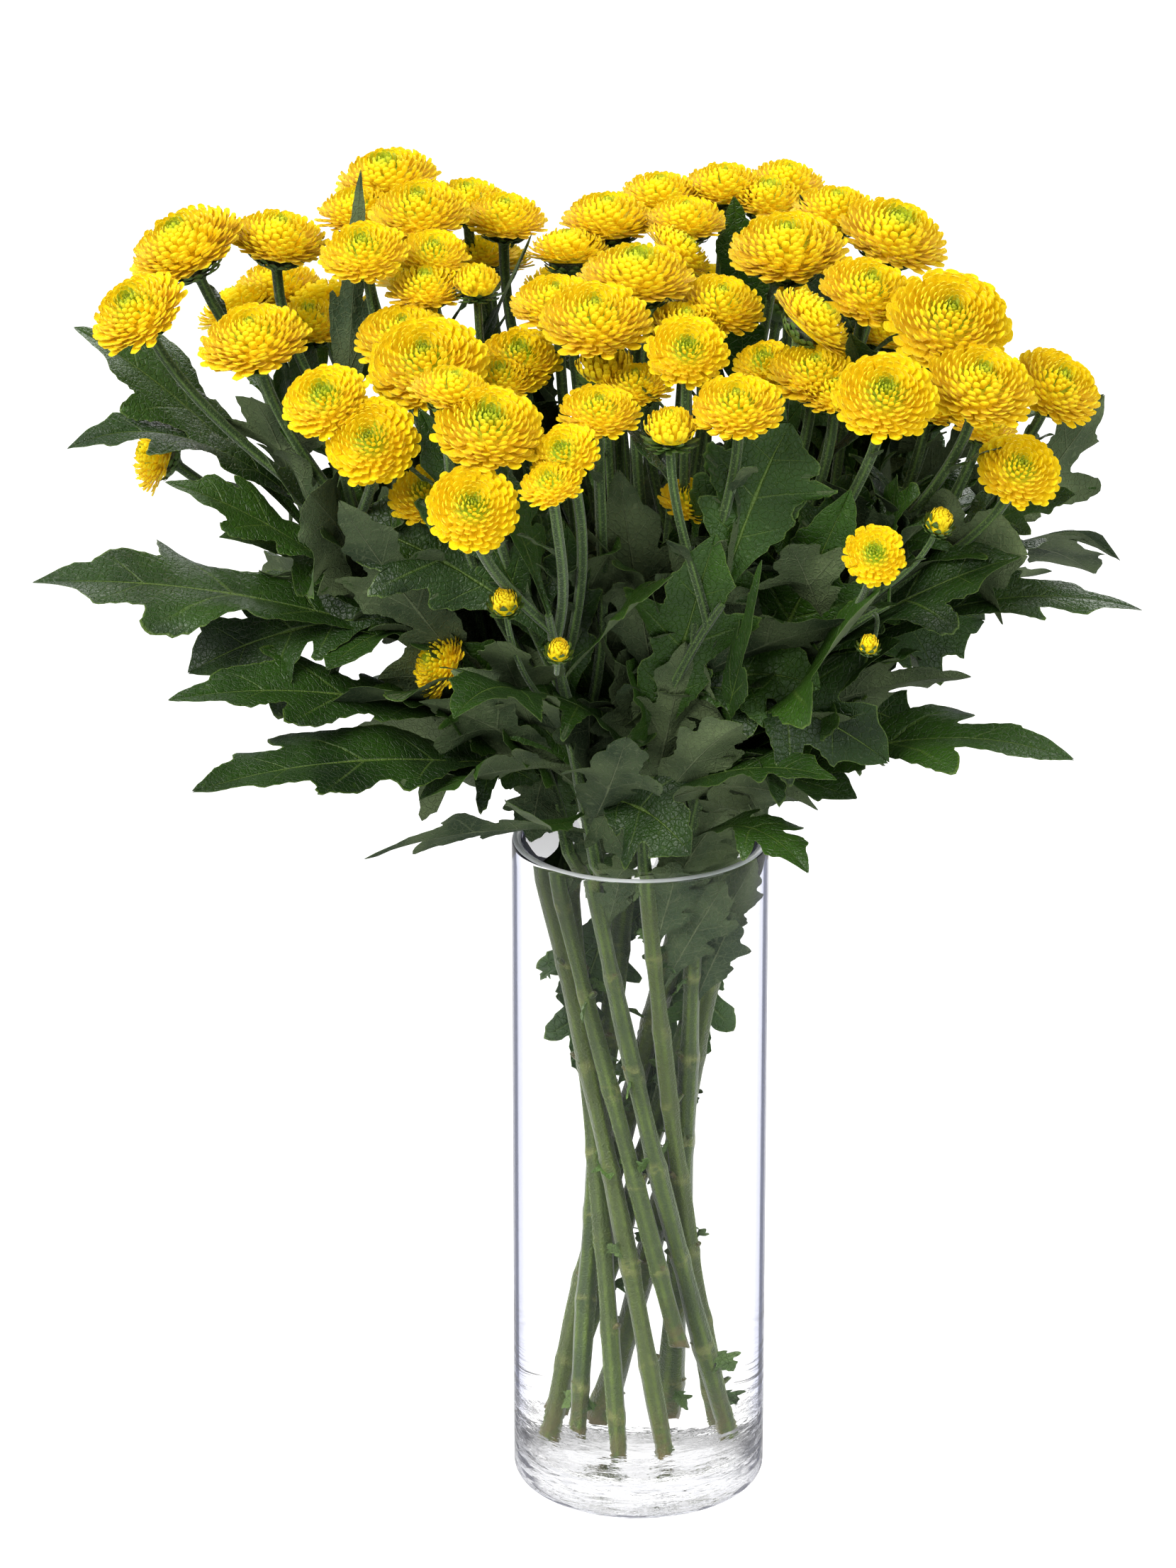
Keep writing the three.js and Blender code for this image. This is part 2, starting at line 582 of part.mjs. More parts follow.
// Heads that press deepest into each other are fused, until few enough are left.
const clusters = heads.map((head) => ({ heads: [head], solid: headSolid(head) }));
const pressing = [];
heads.forEach((head, i) => {
  heads.slice(i + 1).forEach((other, k) => {
    const depth = (head.diameter + other.diameter) / 2 - head.seat.distanceTo(other.seat);
    if (depth > 0) {
      const shared = clusters[i].solid.intersect(clusters[i + 1 + k].solid).volume();
      if (shared > LEAST_PRESS) {
        pressing.push([shared, head, other]);
      }
    }
  });
});
pressing.sort((p, q) => q[0] - p[0]);
pressing.forEach(([, head, other]) => {
  const mine = clusters.find((cluster) => cluster.heads.includes(head));
  const theirs = clusters.find((cluster) => cluster.heads.includes(other));
  if (mine !== theirs && clusters.length > BLOOM_NODES) {
    mine.heads.push(...theirs.heads);
    mine.solid = mine.solid.add(theirs.solid);
    clusters.splice(clusters.indexOf(theirs), 1);
  }
});

const allWood = joined(stems.map((stem) => stem.fatWood));
clusters.forEach((cluster, i) => {
  const earlier = clusters.slice(0, i).flatMap((other) => other.heads);
  let solid = cluster.solid;
  earlier.forEach((head) => {
    solid = solid.subtract(headSolid(head, GAP));
  });
  cluster.solid = largestBody(solid.subtract(allWood));
  cluster.fat = joined(cluster.heads.map((head) => headSolid(head, GAP)));
});

const vase = vaseSolid();
const water = waterSolid(stems);
const fatHeads = joined(clusters.map((cluster) => cluster.fat));
const keepOut = vaseKeepOut();
const fatLeaves = [];
stems.forEach((stem) => {
  const others = joined(stems.filter((other) => other !== stem).map((other) => other.fatWood));
  const blades = stem.leaves.map((leaf) => leafSolid(...leaf));
  let foliage = joined(blades).subtract(others).subtract(fatHeads).subtract(keepOut);
  fatLeaves.forEach((fat) => {
    foliage = foliage.subtract(fat);
  });
  stem.solid = largestBody(stem.wood.add(foliage));
  fatLeaves.push(joined(stem.leaves.map((leaf) => leafSolid(...leaf, GAP))));
});

// ---- the scene graph -------------------------------------------------------------------------

const bouquet = new THREE.Group();

function addNode(name, solid, look) {
  const mesh = new THREE.Mesh(geometryOf(solid), new THREE.MeshStandardMaterial(look));
  mesh.name = name;
  bouquet.add(mesh);
}

const GLASS = { color: 0xeef4f4, roughness: 0.02, transparent: true, opacity: 0.3 };
const WATER = { color: 0xdfeaea, roughness: 0.02, transparent: true, opacity: 0.3 };
const LEAF = { color: 0x2f4a22, roughness: 0.6 };
const PETAL = { color: 0xf6cf12, roughness: 0.7 };

addNode('vase', vase, GLASS);
addNode('water', water, WATER);
stems.forEach((stem) => addNode(`leafy_stem_${stem.letter}`, stem.solid, LEAF));
clusters.forEach((cluster, i) => {
  addNode(`bloom_${String(i + 1).padStart(2, '0')}`, cluster.solid, PETAL);
});

export default bouquet;
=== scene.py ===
import math
import random

import bpy
from bpy.props import FloatProperty, FloatVectorProperty, IntProperty
import numpy as np
from mathutils import Matrix, Vector


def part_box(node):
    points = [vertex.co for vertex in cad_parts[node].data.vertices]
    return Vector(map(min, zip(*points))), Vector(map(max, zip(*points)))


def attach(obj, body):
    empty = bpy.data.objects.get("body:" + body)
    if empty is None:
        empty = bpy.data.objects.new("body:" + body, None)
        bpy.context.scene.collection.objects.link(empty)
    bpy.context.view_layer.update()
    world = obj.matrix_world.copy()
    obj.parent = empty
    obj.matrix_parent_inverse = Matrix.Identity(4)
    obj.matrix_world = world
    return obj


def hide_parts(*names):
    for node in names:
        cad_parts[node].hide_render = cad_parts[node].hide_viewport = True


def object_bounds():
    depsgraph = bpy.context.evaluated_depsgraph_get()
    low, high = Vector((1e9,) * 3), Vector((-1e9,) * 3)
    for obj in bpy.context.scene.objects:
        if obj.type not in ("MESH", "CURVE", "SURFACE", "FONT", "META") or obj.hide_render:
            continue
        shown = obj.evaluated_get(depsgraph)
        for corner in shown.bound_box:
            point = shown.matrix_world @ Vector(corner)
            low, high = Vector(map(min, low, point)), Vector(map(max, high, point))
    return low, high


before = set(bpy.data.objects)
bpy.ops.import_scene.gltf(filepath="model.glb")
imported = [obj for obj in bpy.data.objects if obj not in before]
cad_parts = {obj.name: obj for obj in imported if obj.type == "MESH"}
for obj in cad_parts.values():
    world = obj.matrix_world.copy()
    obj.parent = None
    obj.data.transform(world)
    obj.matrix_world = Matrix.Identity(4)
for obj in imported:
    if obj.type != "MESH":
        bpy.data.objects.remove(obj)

bl_info = {
    "name": "Vase of button chrysanthemums",
    "version": (1, 0, 0),
    "blender": (4, 5, 0),
    "location": "3D Viewport > Sidebar > Bouquet",
    "description": "Builds cut spray chrysanthemums in a glass cylinder of water, piece by piece",
    "category": "Add Mesh",
}

# The sizes and the tables below are in millimetres, and meshes are made in metres.
MM = 0.001
CAD_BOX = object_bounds()
VASE_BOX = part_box("vase")
WATER_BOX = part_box("water")
VASE_RADIUS = VASE_BOX[1].x / MM
VASE_HEIGHT = VASE_BOX[1].z / MM
WATER_TOP = WATER_BOX[1].z / MM
FLOOR = 14.0                        # thickness of the vase's clear floor
WALL = 3.8
GAP = 0.3                           # between water and glass, and between a stalk and its head
FOOT_RING = 27.0                    # how far from the axis the stems stand at the floor
MOUTH_RING = 31.0                   # the same at the mouth
HALF_TWIST = 64.0                   # degrees that the sheaf turns on either side of its waist
MOUTH_HEIGHT = 276.0                # where the stems begin to bend outwards
STEM_RADIUS = 3.0
STEM_TAPER = 0.5                    # how much thinner a stem is at its crown
STEM_BEND = 0.45                    # how far a stem runs on straight, as a share of its bent part
STALK_RADIUS = 2.0                  # of the thickest side stalk
SLIM_STALK = 0.085                  # a side stalk's radius, as a share of its head's diameter
HIGHEST_STALK = 380.0               # where the first side stalk leaves its stem
STALK_STEP = 9.0                    # how much lower each next one leaves it
LOWEST_STALK = 290.0
STALK_SLOPE = 1.3                   # how steeply a side stalk leaves its stem
ROOT_PULL = 0.26                    # how far a side stalk keeps its first way, as a share of its span
HEAD_PULL = 0.36                    # the same under its head
UPRIGHT = Vector((0, 0, 0.5))       # how much the stalk under a head stands up straight
CALYX_RADIUS = 0.26                 # as a share of the head's diameter
CALYX_LENGTH = 0.2
HEAD_HEIGHT = 0.40                  # of an open head, as a share of its diameter
BUTTON_HEIGHT = 0.66                # of a half open head or a bud
HEAD_DIP = 0.88                     # where the middle of a head's top lies, as a share of its height
BUD_SINK = 1.5                      # how far a bud's stalk runs up into it
GOLDEN_ANGLE = math.pi * (3 - math.sqrt(5))

# The photograph's frame, in its own pixels, and the camera that looks at the bouquet.
COLUMNS, ROWS, FOCAL = 1659, 2212, 9364
PITCH, YAW = math.radians(20.07), math.radians(0.482)
EYE = Vector((0, -2400, 1168))
SENSOR = 36.0

# Each spray stem: the bearing of its waist in the sheaf, the height of its cut end, and its crown.
STEMS = {
    "a": (-98, 62, (-116, -28, 384)), "b": (-62, 18, (-34, -84, 388)),
    "c": (-24, 16, (30, -78, 390)), "d": (12, 17, (92, -60, 384)),
    "e": (47, 15.5, (134, -4, 392)), "f": (84, 22, (104, 52, 400)),
    "g": (120, 16, (42, 84, 402)), "h": (156, 24, (-26, 82, 402)),
    "i": (192, 17, (-88, 58, 400)), "j": (227, 19, (-134, 18, 390)),
}

# Each open head: column, row, depth, diameter, lean to the right and turn to the front in degrees.
HEADS = [
    (255, 335, 30, 46, -25, 10), (188, 432, -15, 39, -30, 22), (395, 326, 42, 39, 8, 5),
    (392, 393, 96, 35, -5, 5), (355, 468, -28, 42, -12, 16), (436, 446, 66, 32, 0, 10),
    (212, 638, 28, 31, -70, 10), (545, 240, 80, 40, -8, 8), (505, 288, 60, 34, -5, 5),
    (590, 288, 42, 39, -5, 16), (512, 347, -4, 34, -8, 22), (660, 275, 88, 32, 0, 5),
    (713, 298, 68, 33, 4, 8), (612, 352, 12, 28, 4, 22), (600, 398, -4, 30, -2, 10),
    (683, 348, 92, 28, 0, 0), (803, 343, 52, 33, 0, -8), (858, 298, 72, 38, 0, 2),
    (932, 266, 102, 34, 0, 3), (1022, 253, 110, 34, 0, 3), (1112, 248, 122, 31, 8, 3),
    (1085, 272, 104, 32, 4, 4), (968, 301, 66, 33, 0, 4), (965, 350, 48, 31, 42, -8),
    (900, 376, 0, 43, 2, 6), (785, 418, -21, 36, -3, 12), (840, 440, -42, 42, 0, 20),
    (866, 384, 18, 30, 0, 5), (1018, 420, 0, 35, 10, 16), (970, 490, -62, 31, 2, 44),
    (968, 452, -14, 32, 4, 10), (896, 536, -46, 28, 0, 10), (1180, 288, 68, 35, 4, 6),
    (1265, 320, 47, 43, 18, 14), (1112, 338, 26, 46, -2, 12), (1228, 403, -4, 37, 14, 22),
    (1155, 445, -22, 35, 42, -4), (1342, 443, -26, 47, 8, 36), (1385, 533, -52, 43, 10, 24),
    (1495, 537, -12, 37, 26, 24), (1150, 518, -34, 35, 4, 20), (1250, 552, -78, 38, 2, 42),
    (1078, 508, -22, 26, -10, 22), (1040, 565, -86, 35, -4, 22), (1260, 462, 60, 30, 5, 0),
    (1318, 562, -8, 28, 10, 10), (1392, 592, -18, 27, 20, 10), (1178, 546, -42, 27, 0, 14),
    (1440, 658, -56, 32, 14, 40), (1234, 780, -100, 24, 0, 52), (457, 558, -70, 33, -14, 34),
    (570, 465, -24, 38, -5, 18), (600, 503, -46, 45, -8, 32), (640, 542, -80, 32, 10, 2),
    (733, 498, -22, 32, 0, 26), (705, 528, -34, 28, 0, 14), (690, 595, -98, 41, 4, 28),
    (522, 618, -83, 35, -14, 52), (600, 690, -58, 29, -8, 30), (667, 712, -122, 34, 4, 50),
    (793, 636, -104, 27, -24, 36), (775, 678, -116, 24, -10, 20), (845, 573, -78, 31, 0, 18),
    (975, 700, -52, 24, 10, 20), (612, 932, -40, 29, -62, 20),
    # the side that the front view hides
    (332, 424, 88, 35, -24, -14), (452, 418, 92, 37, -12, -22), (596, 376, 112, 38, -6, -24),
    (690, 358, 108, 35, -2, -20), (798, 394, 124, 38, -4, -24), (898, 405, 136, 38, 2, -34),
    (998, 396, 126, 38, 6, -28), (1102, 410, 136, 39, 12, -32), (1232, 420, 82, 36, 14, -14),
    (1330, 446, 78, 36, 26, -10),
]
BUTTONS = [
    (673, 398, -8, 18, 0, 6), (853, 516, -36, 22, -4, 6), (946, 604, -88, 20, 2, 8),
]
BUDS = [
    (1325, 737, -66, 13, 22, 12), (712, 850, -92, 13, -6, 26), (788, 917, -112, 11, 8, 30),
    (1226, 910, -98, 9.5, 12, 16),
]

# The ways that a leaf's upper side may face.
UP, DOWN = (0, -0.35, 1), (0, 0.75, 0.6)
FRONT, REAR = (0, -1, 0.3), (0, 1, 0.25)
LEFT, RIGHT = (-1, -0.5, 0.3), (1, -0.5, 0.3)

# Each large leaf: stem, height of its root, column, row and depth of its tip, half width, arch and
# the way that its upper side faces.
LEAVES = [
    ("a", 350, 46, 822, -20, 29, 12, UP), ("a", 312, 237, 988, -52, 24, 14, UP),
    ("a", 299, 271, 1117, -86, 27, 12, UP), ("b", 281, 514, 1212, -74, 13, 8, DOWN),
    ("j", 356, 309, 758, -36, 20, 8, UP), ("j", 386, 104, 462, 18, 24, 10, UP),
    ("j", 378, 95, 633, -4, 17, 30, UP), ("a", 372, 233, 680, -40, 18, 8, UP),
    ("a", 366, 372, 640, -66, 22, -6, UP), ("a", 330, 478, 706, -88, 22, -6, DOWN),
    ("b", 366, 590, 574, -78, 17, -4, FRONT), ("a", 384, 509, 238, 24, 9, -6, REAR),
    ("i", 398, 750, 330, 22, 9, 0, RIGHT), ("g", 400, 1035, 276, 58, 15, 4, FRONT),
    ("f", 398, 1128, 274, 74, 12, 4, UP), ("f", 396, 1200, 470, -34, 16, 2, FRONT),
    ("e", 386, 1558, 556, 8, 22, -8, DOWN), ("e", 374, 1517, 698, -14, 17, 10, UP),
    ("e", 352, 1484, 806, 34, 18, 6, DOWN), ("d", 350, 1441, 785, -54, 25, 8, UP),
    ("d", 338, 1611, 861, -30, 15, 26, UP), ("d", 316, 1370, 955, -34, 16, 10, DOWN),
    ("d", 284, 1515, 1072, -66, 21, 26, UP), ("d", 277, 1140, 1232, -74, 15, 16, UP),
    ("d", 306, 1242, 833, -92, 29, -4, UP), ("c", 312, 1010, 752, -84, 24, 0, FRONT),
    ("c", 352, 1100, 548, -66, 22, -6, FRONT), ("c", 338, 872, 662, -62, 21, -6, REAR),
    ("b", 314, 640, 1014, -112, 23, 26, UP), ("b", 290, 712, 1128, -86, 11, -10, UP),
    ("b", 283, 884, 1040, -84, 19, -4, REAR), ("c", 284, 1048, 1022, -84, 16, 8, REAR),
    ("c", 282, 968, 905, -66, 17, -4, REAR), ("d", 281, 1058, 1158, -38, 17, 10, DOWN),
    ("d", 300, 1075, 790, -104, 13, -12, LEFT), ("b", 330, 800, 742, -70, 15, 0, FRONT),
    ("a", 300, 700, 905, -94, 20, 6, DOWN), ("d", 322, 1200, 690, -70, 24, -4, FRONT),
    ("b", 300, 590, 990, -48, 20, 8, DOWN), ("d", 296, 1270, 905, -64, 24, 6, UP),
    ("b", 352, 950, 812, -98, 15, 4, UP), ("c", 296, 1180, 1100, -96, 15, 12, UP),
]
# The rule for large leaves on the side that the front view hides.
HIDDEN_LEAVES = {
    "stems": "fghi", "heights": (296, 330, 366), "centre": -20, "fan": 1.1, "length": (85, 120),
    "rise": (0.05, 0.55), "half_width": (20, 28), "arch": 12, "face_up": 1.6,
}
SEED = 11


# ---- places and curves ------------------------------------------------------------------------

def sight(column, row, depth):
    """The point seen at a pixel of the photograph, in the upright plane at a depth."""
    right = (column - COLUMNS / 2) / FOCAL
    up = (ROWS / 2 - row) / FOCAL
    ahead = math.cos(PITCH) + up * math.sin(PITCH)
    way = Vector((
        right * math.cos(YAW) - ahead * math.sin(YAW),
        right * math.sin(YAW) + ahead * math.cos(YAW),
        up * math.cos(PITCH) - math.sin(PITCH),
    ))
    return EYE + way * ((depth - EYE.y) / way.y)


def draw(index):
    """A repeatable number from 0 to 1, drawn as the solids draw it."""
    value = math.sin((index + SEED) * 12.9898) * 43758.5453
    return value - math.floor(value)


def draw_from(index, limits):
    """A repeatable number between two limits."""
    return limits[0] + (limits[1] - limits[0]) * draw(index)


def bezier(points, share):
    """The point and the direction of a Bezier curve of three or four points."""
    level = [Vector(p) for p in points]
    while len(level) > 2:
        level = [p.lerp(q, share) for p, q in zip(level, level[1:])]
    return level[0].lerp(level[1], share), (level[1] - level[0]).normalized()


class Stem:
    """A spray stem, straight in the vase and bent out over its brim, with what grows on it."""

    def __init__(self, letter, waist, foot, crown):
        self.letter = letter
        self.crown = Vector(crown)
        self.heads = []
        self.leaves = []
        low, high = math.radians(waist + HALF_TWIST), math.radians(waist - HALF_TWIST)
        base = Vector((FOOT_RING * math.cos(low), FOOT_RING * math.sin(low), FLOOR + 2))
        self.mouth = Vector((MOUTH_RING * math.cos(high), MOUTH_RING * math.sin(high), MOUTH_HEIGHT))
        self.straight = (self.mouth - base).normalized()
        self.start = base + self.straight * ((foot - FLOOR - 2) / self.straight.z)
        self.node_step = 31 + 11 * draw(ord(letter))
        self.node_shift = self.node_step * draw(ord(letter) + 40)
        pull = STEM_BEND * (self.crown - self.mouth).length
        self.bend = [self.mouth, self.mouth + self.straight * pull, self.crown]

    def at(self, height):
        """The point at a height, and the stem's direction there."""
        if height <= MOUTH_HEIGHT:
            return self.start + self.straight * ((height - self.start.z) / self.straight.z), self.straight
        low, high = 0.0, 1.0
        for _ in range(30):
            middle = (low + high) / 2
            if bezier(self.bend, middle)[0].z < height:
                low = middle
            else:
                high = middle
        return bezier(self.bend, low)


class Head:
    """A flower head: its seat is the middle of its underside."""

    def __init__(self, values, form):
        column, row, depth, self.diameter, lean, turn = values
        a, b = math.radians(lean), math.radians(turn)
        self.form = form
        self.axis = Vector((math.sin(a) * math.cos(b), -math.sin(b), math.cos(a) * math.cos(b)))
        self.seat = sight(column, row, depth) - self.axis * (0.5 * HEAD_HEIGHT * self.diameter)
        self.height = self.diameter * (HEAD_HEIGHT if form == "open" else BUTTON_HEIGHT)

    def place(self):
        """The matrix that stands a head, made at the origin in metres, on its seat."""
        turn = self.axis.to_track_quat("Z", "Y").to_matrix().to_4x4()
        return Matrix.Translation(self.seat * MM) @ turn

    def stalk(self, stem, rank):
        """The four points of the stalk that carries the head."""
        root, along = stem.at(max(LOWEST_STALK, HIGHEST_STALK - STALK_STEP * rank))
        top = self.seat + self.axis * (BUD_SINK if self.form == "bud" else -GAP)
        span = (top - root).length
        across = (top - root) - along * (top - root).dot(along)
        leaving = (across.normalized() + along * STALK_SLOPE).normalized()
        below = (self.axis + UPRIGHT).normalized()
        return [root, root + leaving * (ROOT_PULL * span), top - below * (HEAD_PULL * span), top]


def plan_bouquet():
    """The ten stems, each with its heads, their stalks and its large leaves."""
    stems = {letter: Stem(letter, *values) for letter, values in STEMS.items()}
    heads = [Head(values, "open") for values in HEADS]
    heads += [Head(values, "button") for values in BUTTONS]
    heads += [Head(values, "bud") for values in BUDS]
    for head in heads:
        stem = min(stems.values(), key=lambda s: (s.crown - head.seat).xy.length)
        stem.heads.append(head)
    for stem in stems.values():
        stem.heads.sort(key=lambda head: -math.hypot(head.seat.x, head.seat.y * 1.5))
        for rank, head in enumerate(stem.heads):
            head.path = head.stalk(stem, rank)
    for letter, height, column, row, depth, half_width, arch, face in LEAVES:
        root = stems[letter].at(height)[0]
        stems[letter].leaves.append((root, sight(column, row, depth), half_width, arch, face))
    rule = HIDDEN_LEAVES
    for i, letter in enumerate(rule["stems"]):
        stem = stems[letter]
        outwards = math.atan2(stem.crown.y - rule["centre"], stem.crown.x)
        for k, height in enumerate(rule["heights"]):
            pick = 10 * i + 3 * k
            root = stem.at(height)[0]
            bearing = outwards + rule["fan"] * (draw(pick) - 0.5)
            level = (math.cos(bearing), math.sin(bearing))
            length = draw_from(pick + 1, rule["length"])
            tip = root + Vector((*level, draw_from(pick + 2, rule["rise"]))) * length
            half_width = draw_from(pick + 3, rule["half_width"])
            face = (-level[0], -level[1], rule["face_up"])
            stem.leaves.append((root, tip, half_width, rule["arch"], face))
    return stems


BOUQUET = plan_bouquet()


# ---- node trees -------------------------------------------------------------------------------

class Field:
    """A number inside a node tree: arithmetic on it adds Math nodes, so formulas read as such."""

    def __init__(self, tree, socket):
        self.tree = tree
        self.socket = socket

    def math(self, operation, *others):
        """The result of a Math node on this number and others."""
        node = self.tree.nodes.new("ShaderNodeMath")
        node.operation = operation
        for slot, value in zip(node.inputs, (self, *others)):
            join_up(self.tree, value, slot)
        return Field(self.tree, node.outputs[0])

    def __add__(self, other):
        return self.math("ADD", other)

    def __sub__(self, other):
        return self.math("SUBTRACT", other)

    def __mul__(self, other):
        return self.math("MULTIPLY", other)

    def __truediv__(self, other):
        return self.math("DIVIDE", other)

    def __pow__(self, other):
        return self.math("POWER", other)

    __radd__ = __add__
    __rmul__ = __mul__

    def __rsub__(self, other):
        return (self * -1.0) + other

    def between(self, low, high):
        """0 up to low, 1 from high on, and a smooth step between them."""
        node = self.tree.nodes.new("ShaderNodeMapRange")
        node.interpolation_type = "SMOOTHSTEP"
        self.tree.links.new(self.socket, node.inputs["Value"])
        node.inputs["From Min"].default_value = low
        node.inputs["From Max"].default_value = high
        return Field(self.tree, node.outputs["Result"])


def join_up(tree, value, slot):
    """Links a field or a socket to an input, or sets the input to a plain value."""
    if isinstance(value, Field):
        value = value.socket
    if isinstance(value, bpy.types.NodeSocket):
        tree.links.new(value, slot)
    else:
        slot.default_value = value


def add_node(tree, kind, **inputs):
    """A node whose inputs are given by name, with underscores for spaces."""
    node = tree.nodes.new(kind)
    for name, value in inputs.items():
        join_up(tree, value, node.inputs[name.replace("_", " ")])
    return node


def source(tree, kind, output=0):
    """What a new node that takes no inputs puts out."""
    return Field(tree, tree.nodes.new(kind).outputs[output])


def new_tree(name, kind, inputs, outputs):
    """A node group with named inputs (name, type, default) and outputs (name, type)."""
    tree = bpy.data.node_groups.new(name, kind)
    for label, socket_type, default in inputs:
        item = tree.interface.new_socket(label, in_out="INPUT", socket_type=socket_type)
        if default is not None:
            item.default_value = default
    for label, socket_type in outputs:
        tree.interface.new_socket(label, in_out="OUTPUT", socket_type=socket_type)
    return tree, tree.nodes.new("NodeGroupInput"), tree.nodes.new("NodeGroupOutput")


def bake_tree(piece, tree, **values):
    """Runs a Geometry Nodes tree on an object and returns its result as a plain mesh object."""
    modifier = piece.modifiers.new(tree.name, "NODES")
    modifier.node_group = tree
    for item in tree.interface.items_tree:
        key = item.name.replace(" ", "_").lower()
        if item.item_type == "SOCKET" and item.in_out == "INPUT" and key in values:
            modifier[item.identifier] = values[key]
    bpy.context.view_layer.update()
    evaluated = piece.evaluated_get(bpy.context.evaluated_depsgraph_get())
    mesh = bpy.data.meshes.new_from_object(evaluated)
    name = piece.name
    bpy.data.objects.remove(piece)
    return link_mesh(name, mesh)


def link_mesh(name, mesh):
    """An object of a mesh or a curve, put in the scene."""
    piece = bpy.data.objects.new(name, mesh)
    bpy.context.scene.collection.objects.link(piece)
    return piece


def store(tree, geometry, name, value):
    """Keeps a number at each point of a tree's geometry under a name."""
    return add_node(tree, "GeometryNodeStoreNamedAttribute", Name=name, Value=value,
                    Geometry=geometry).outputs[0]


def finish_tree(tree, geometry, finish, result):
    """Gives a tree's geometry its material and puts it out."""
    finished = add_node(tree, "GeometryNodeSetMaterial", Geometry=geometry, Material=finish)
    tree.links.new(finished.outputs[0], result.inputs[0])
    return tree


KNEE_GROWTH = 0.6                   # powers by which knees and widths change away from the heart
WIDTH_GROWTH = 0.62
DIMPLE_ENDS = 3.5                   # the heart's dimple ends where the ring times this is 1
TURN_CHANCE = 0.1                   # how far a petal may stand off its place in the spiral
TINY = 1e-12


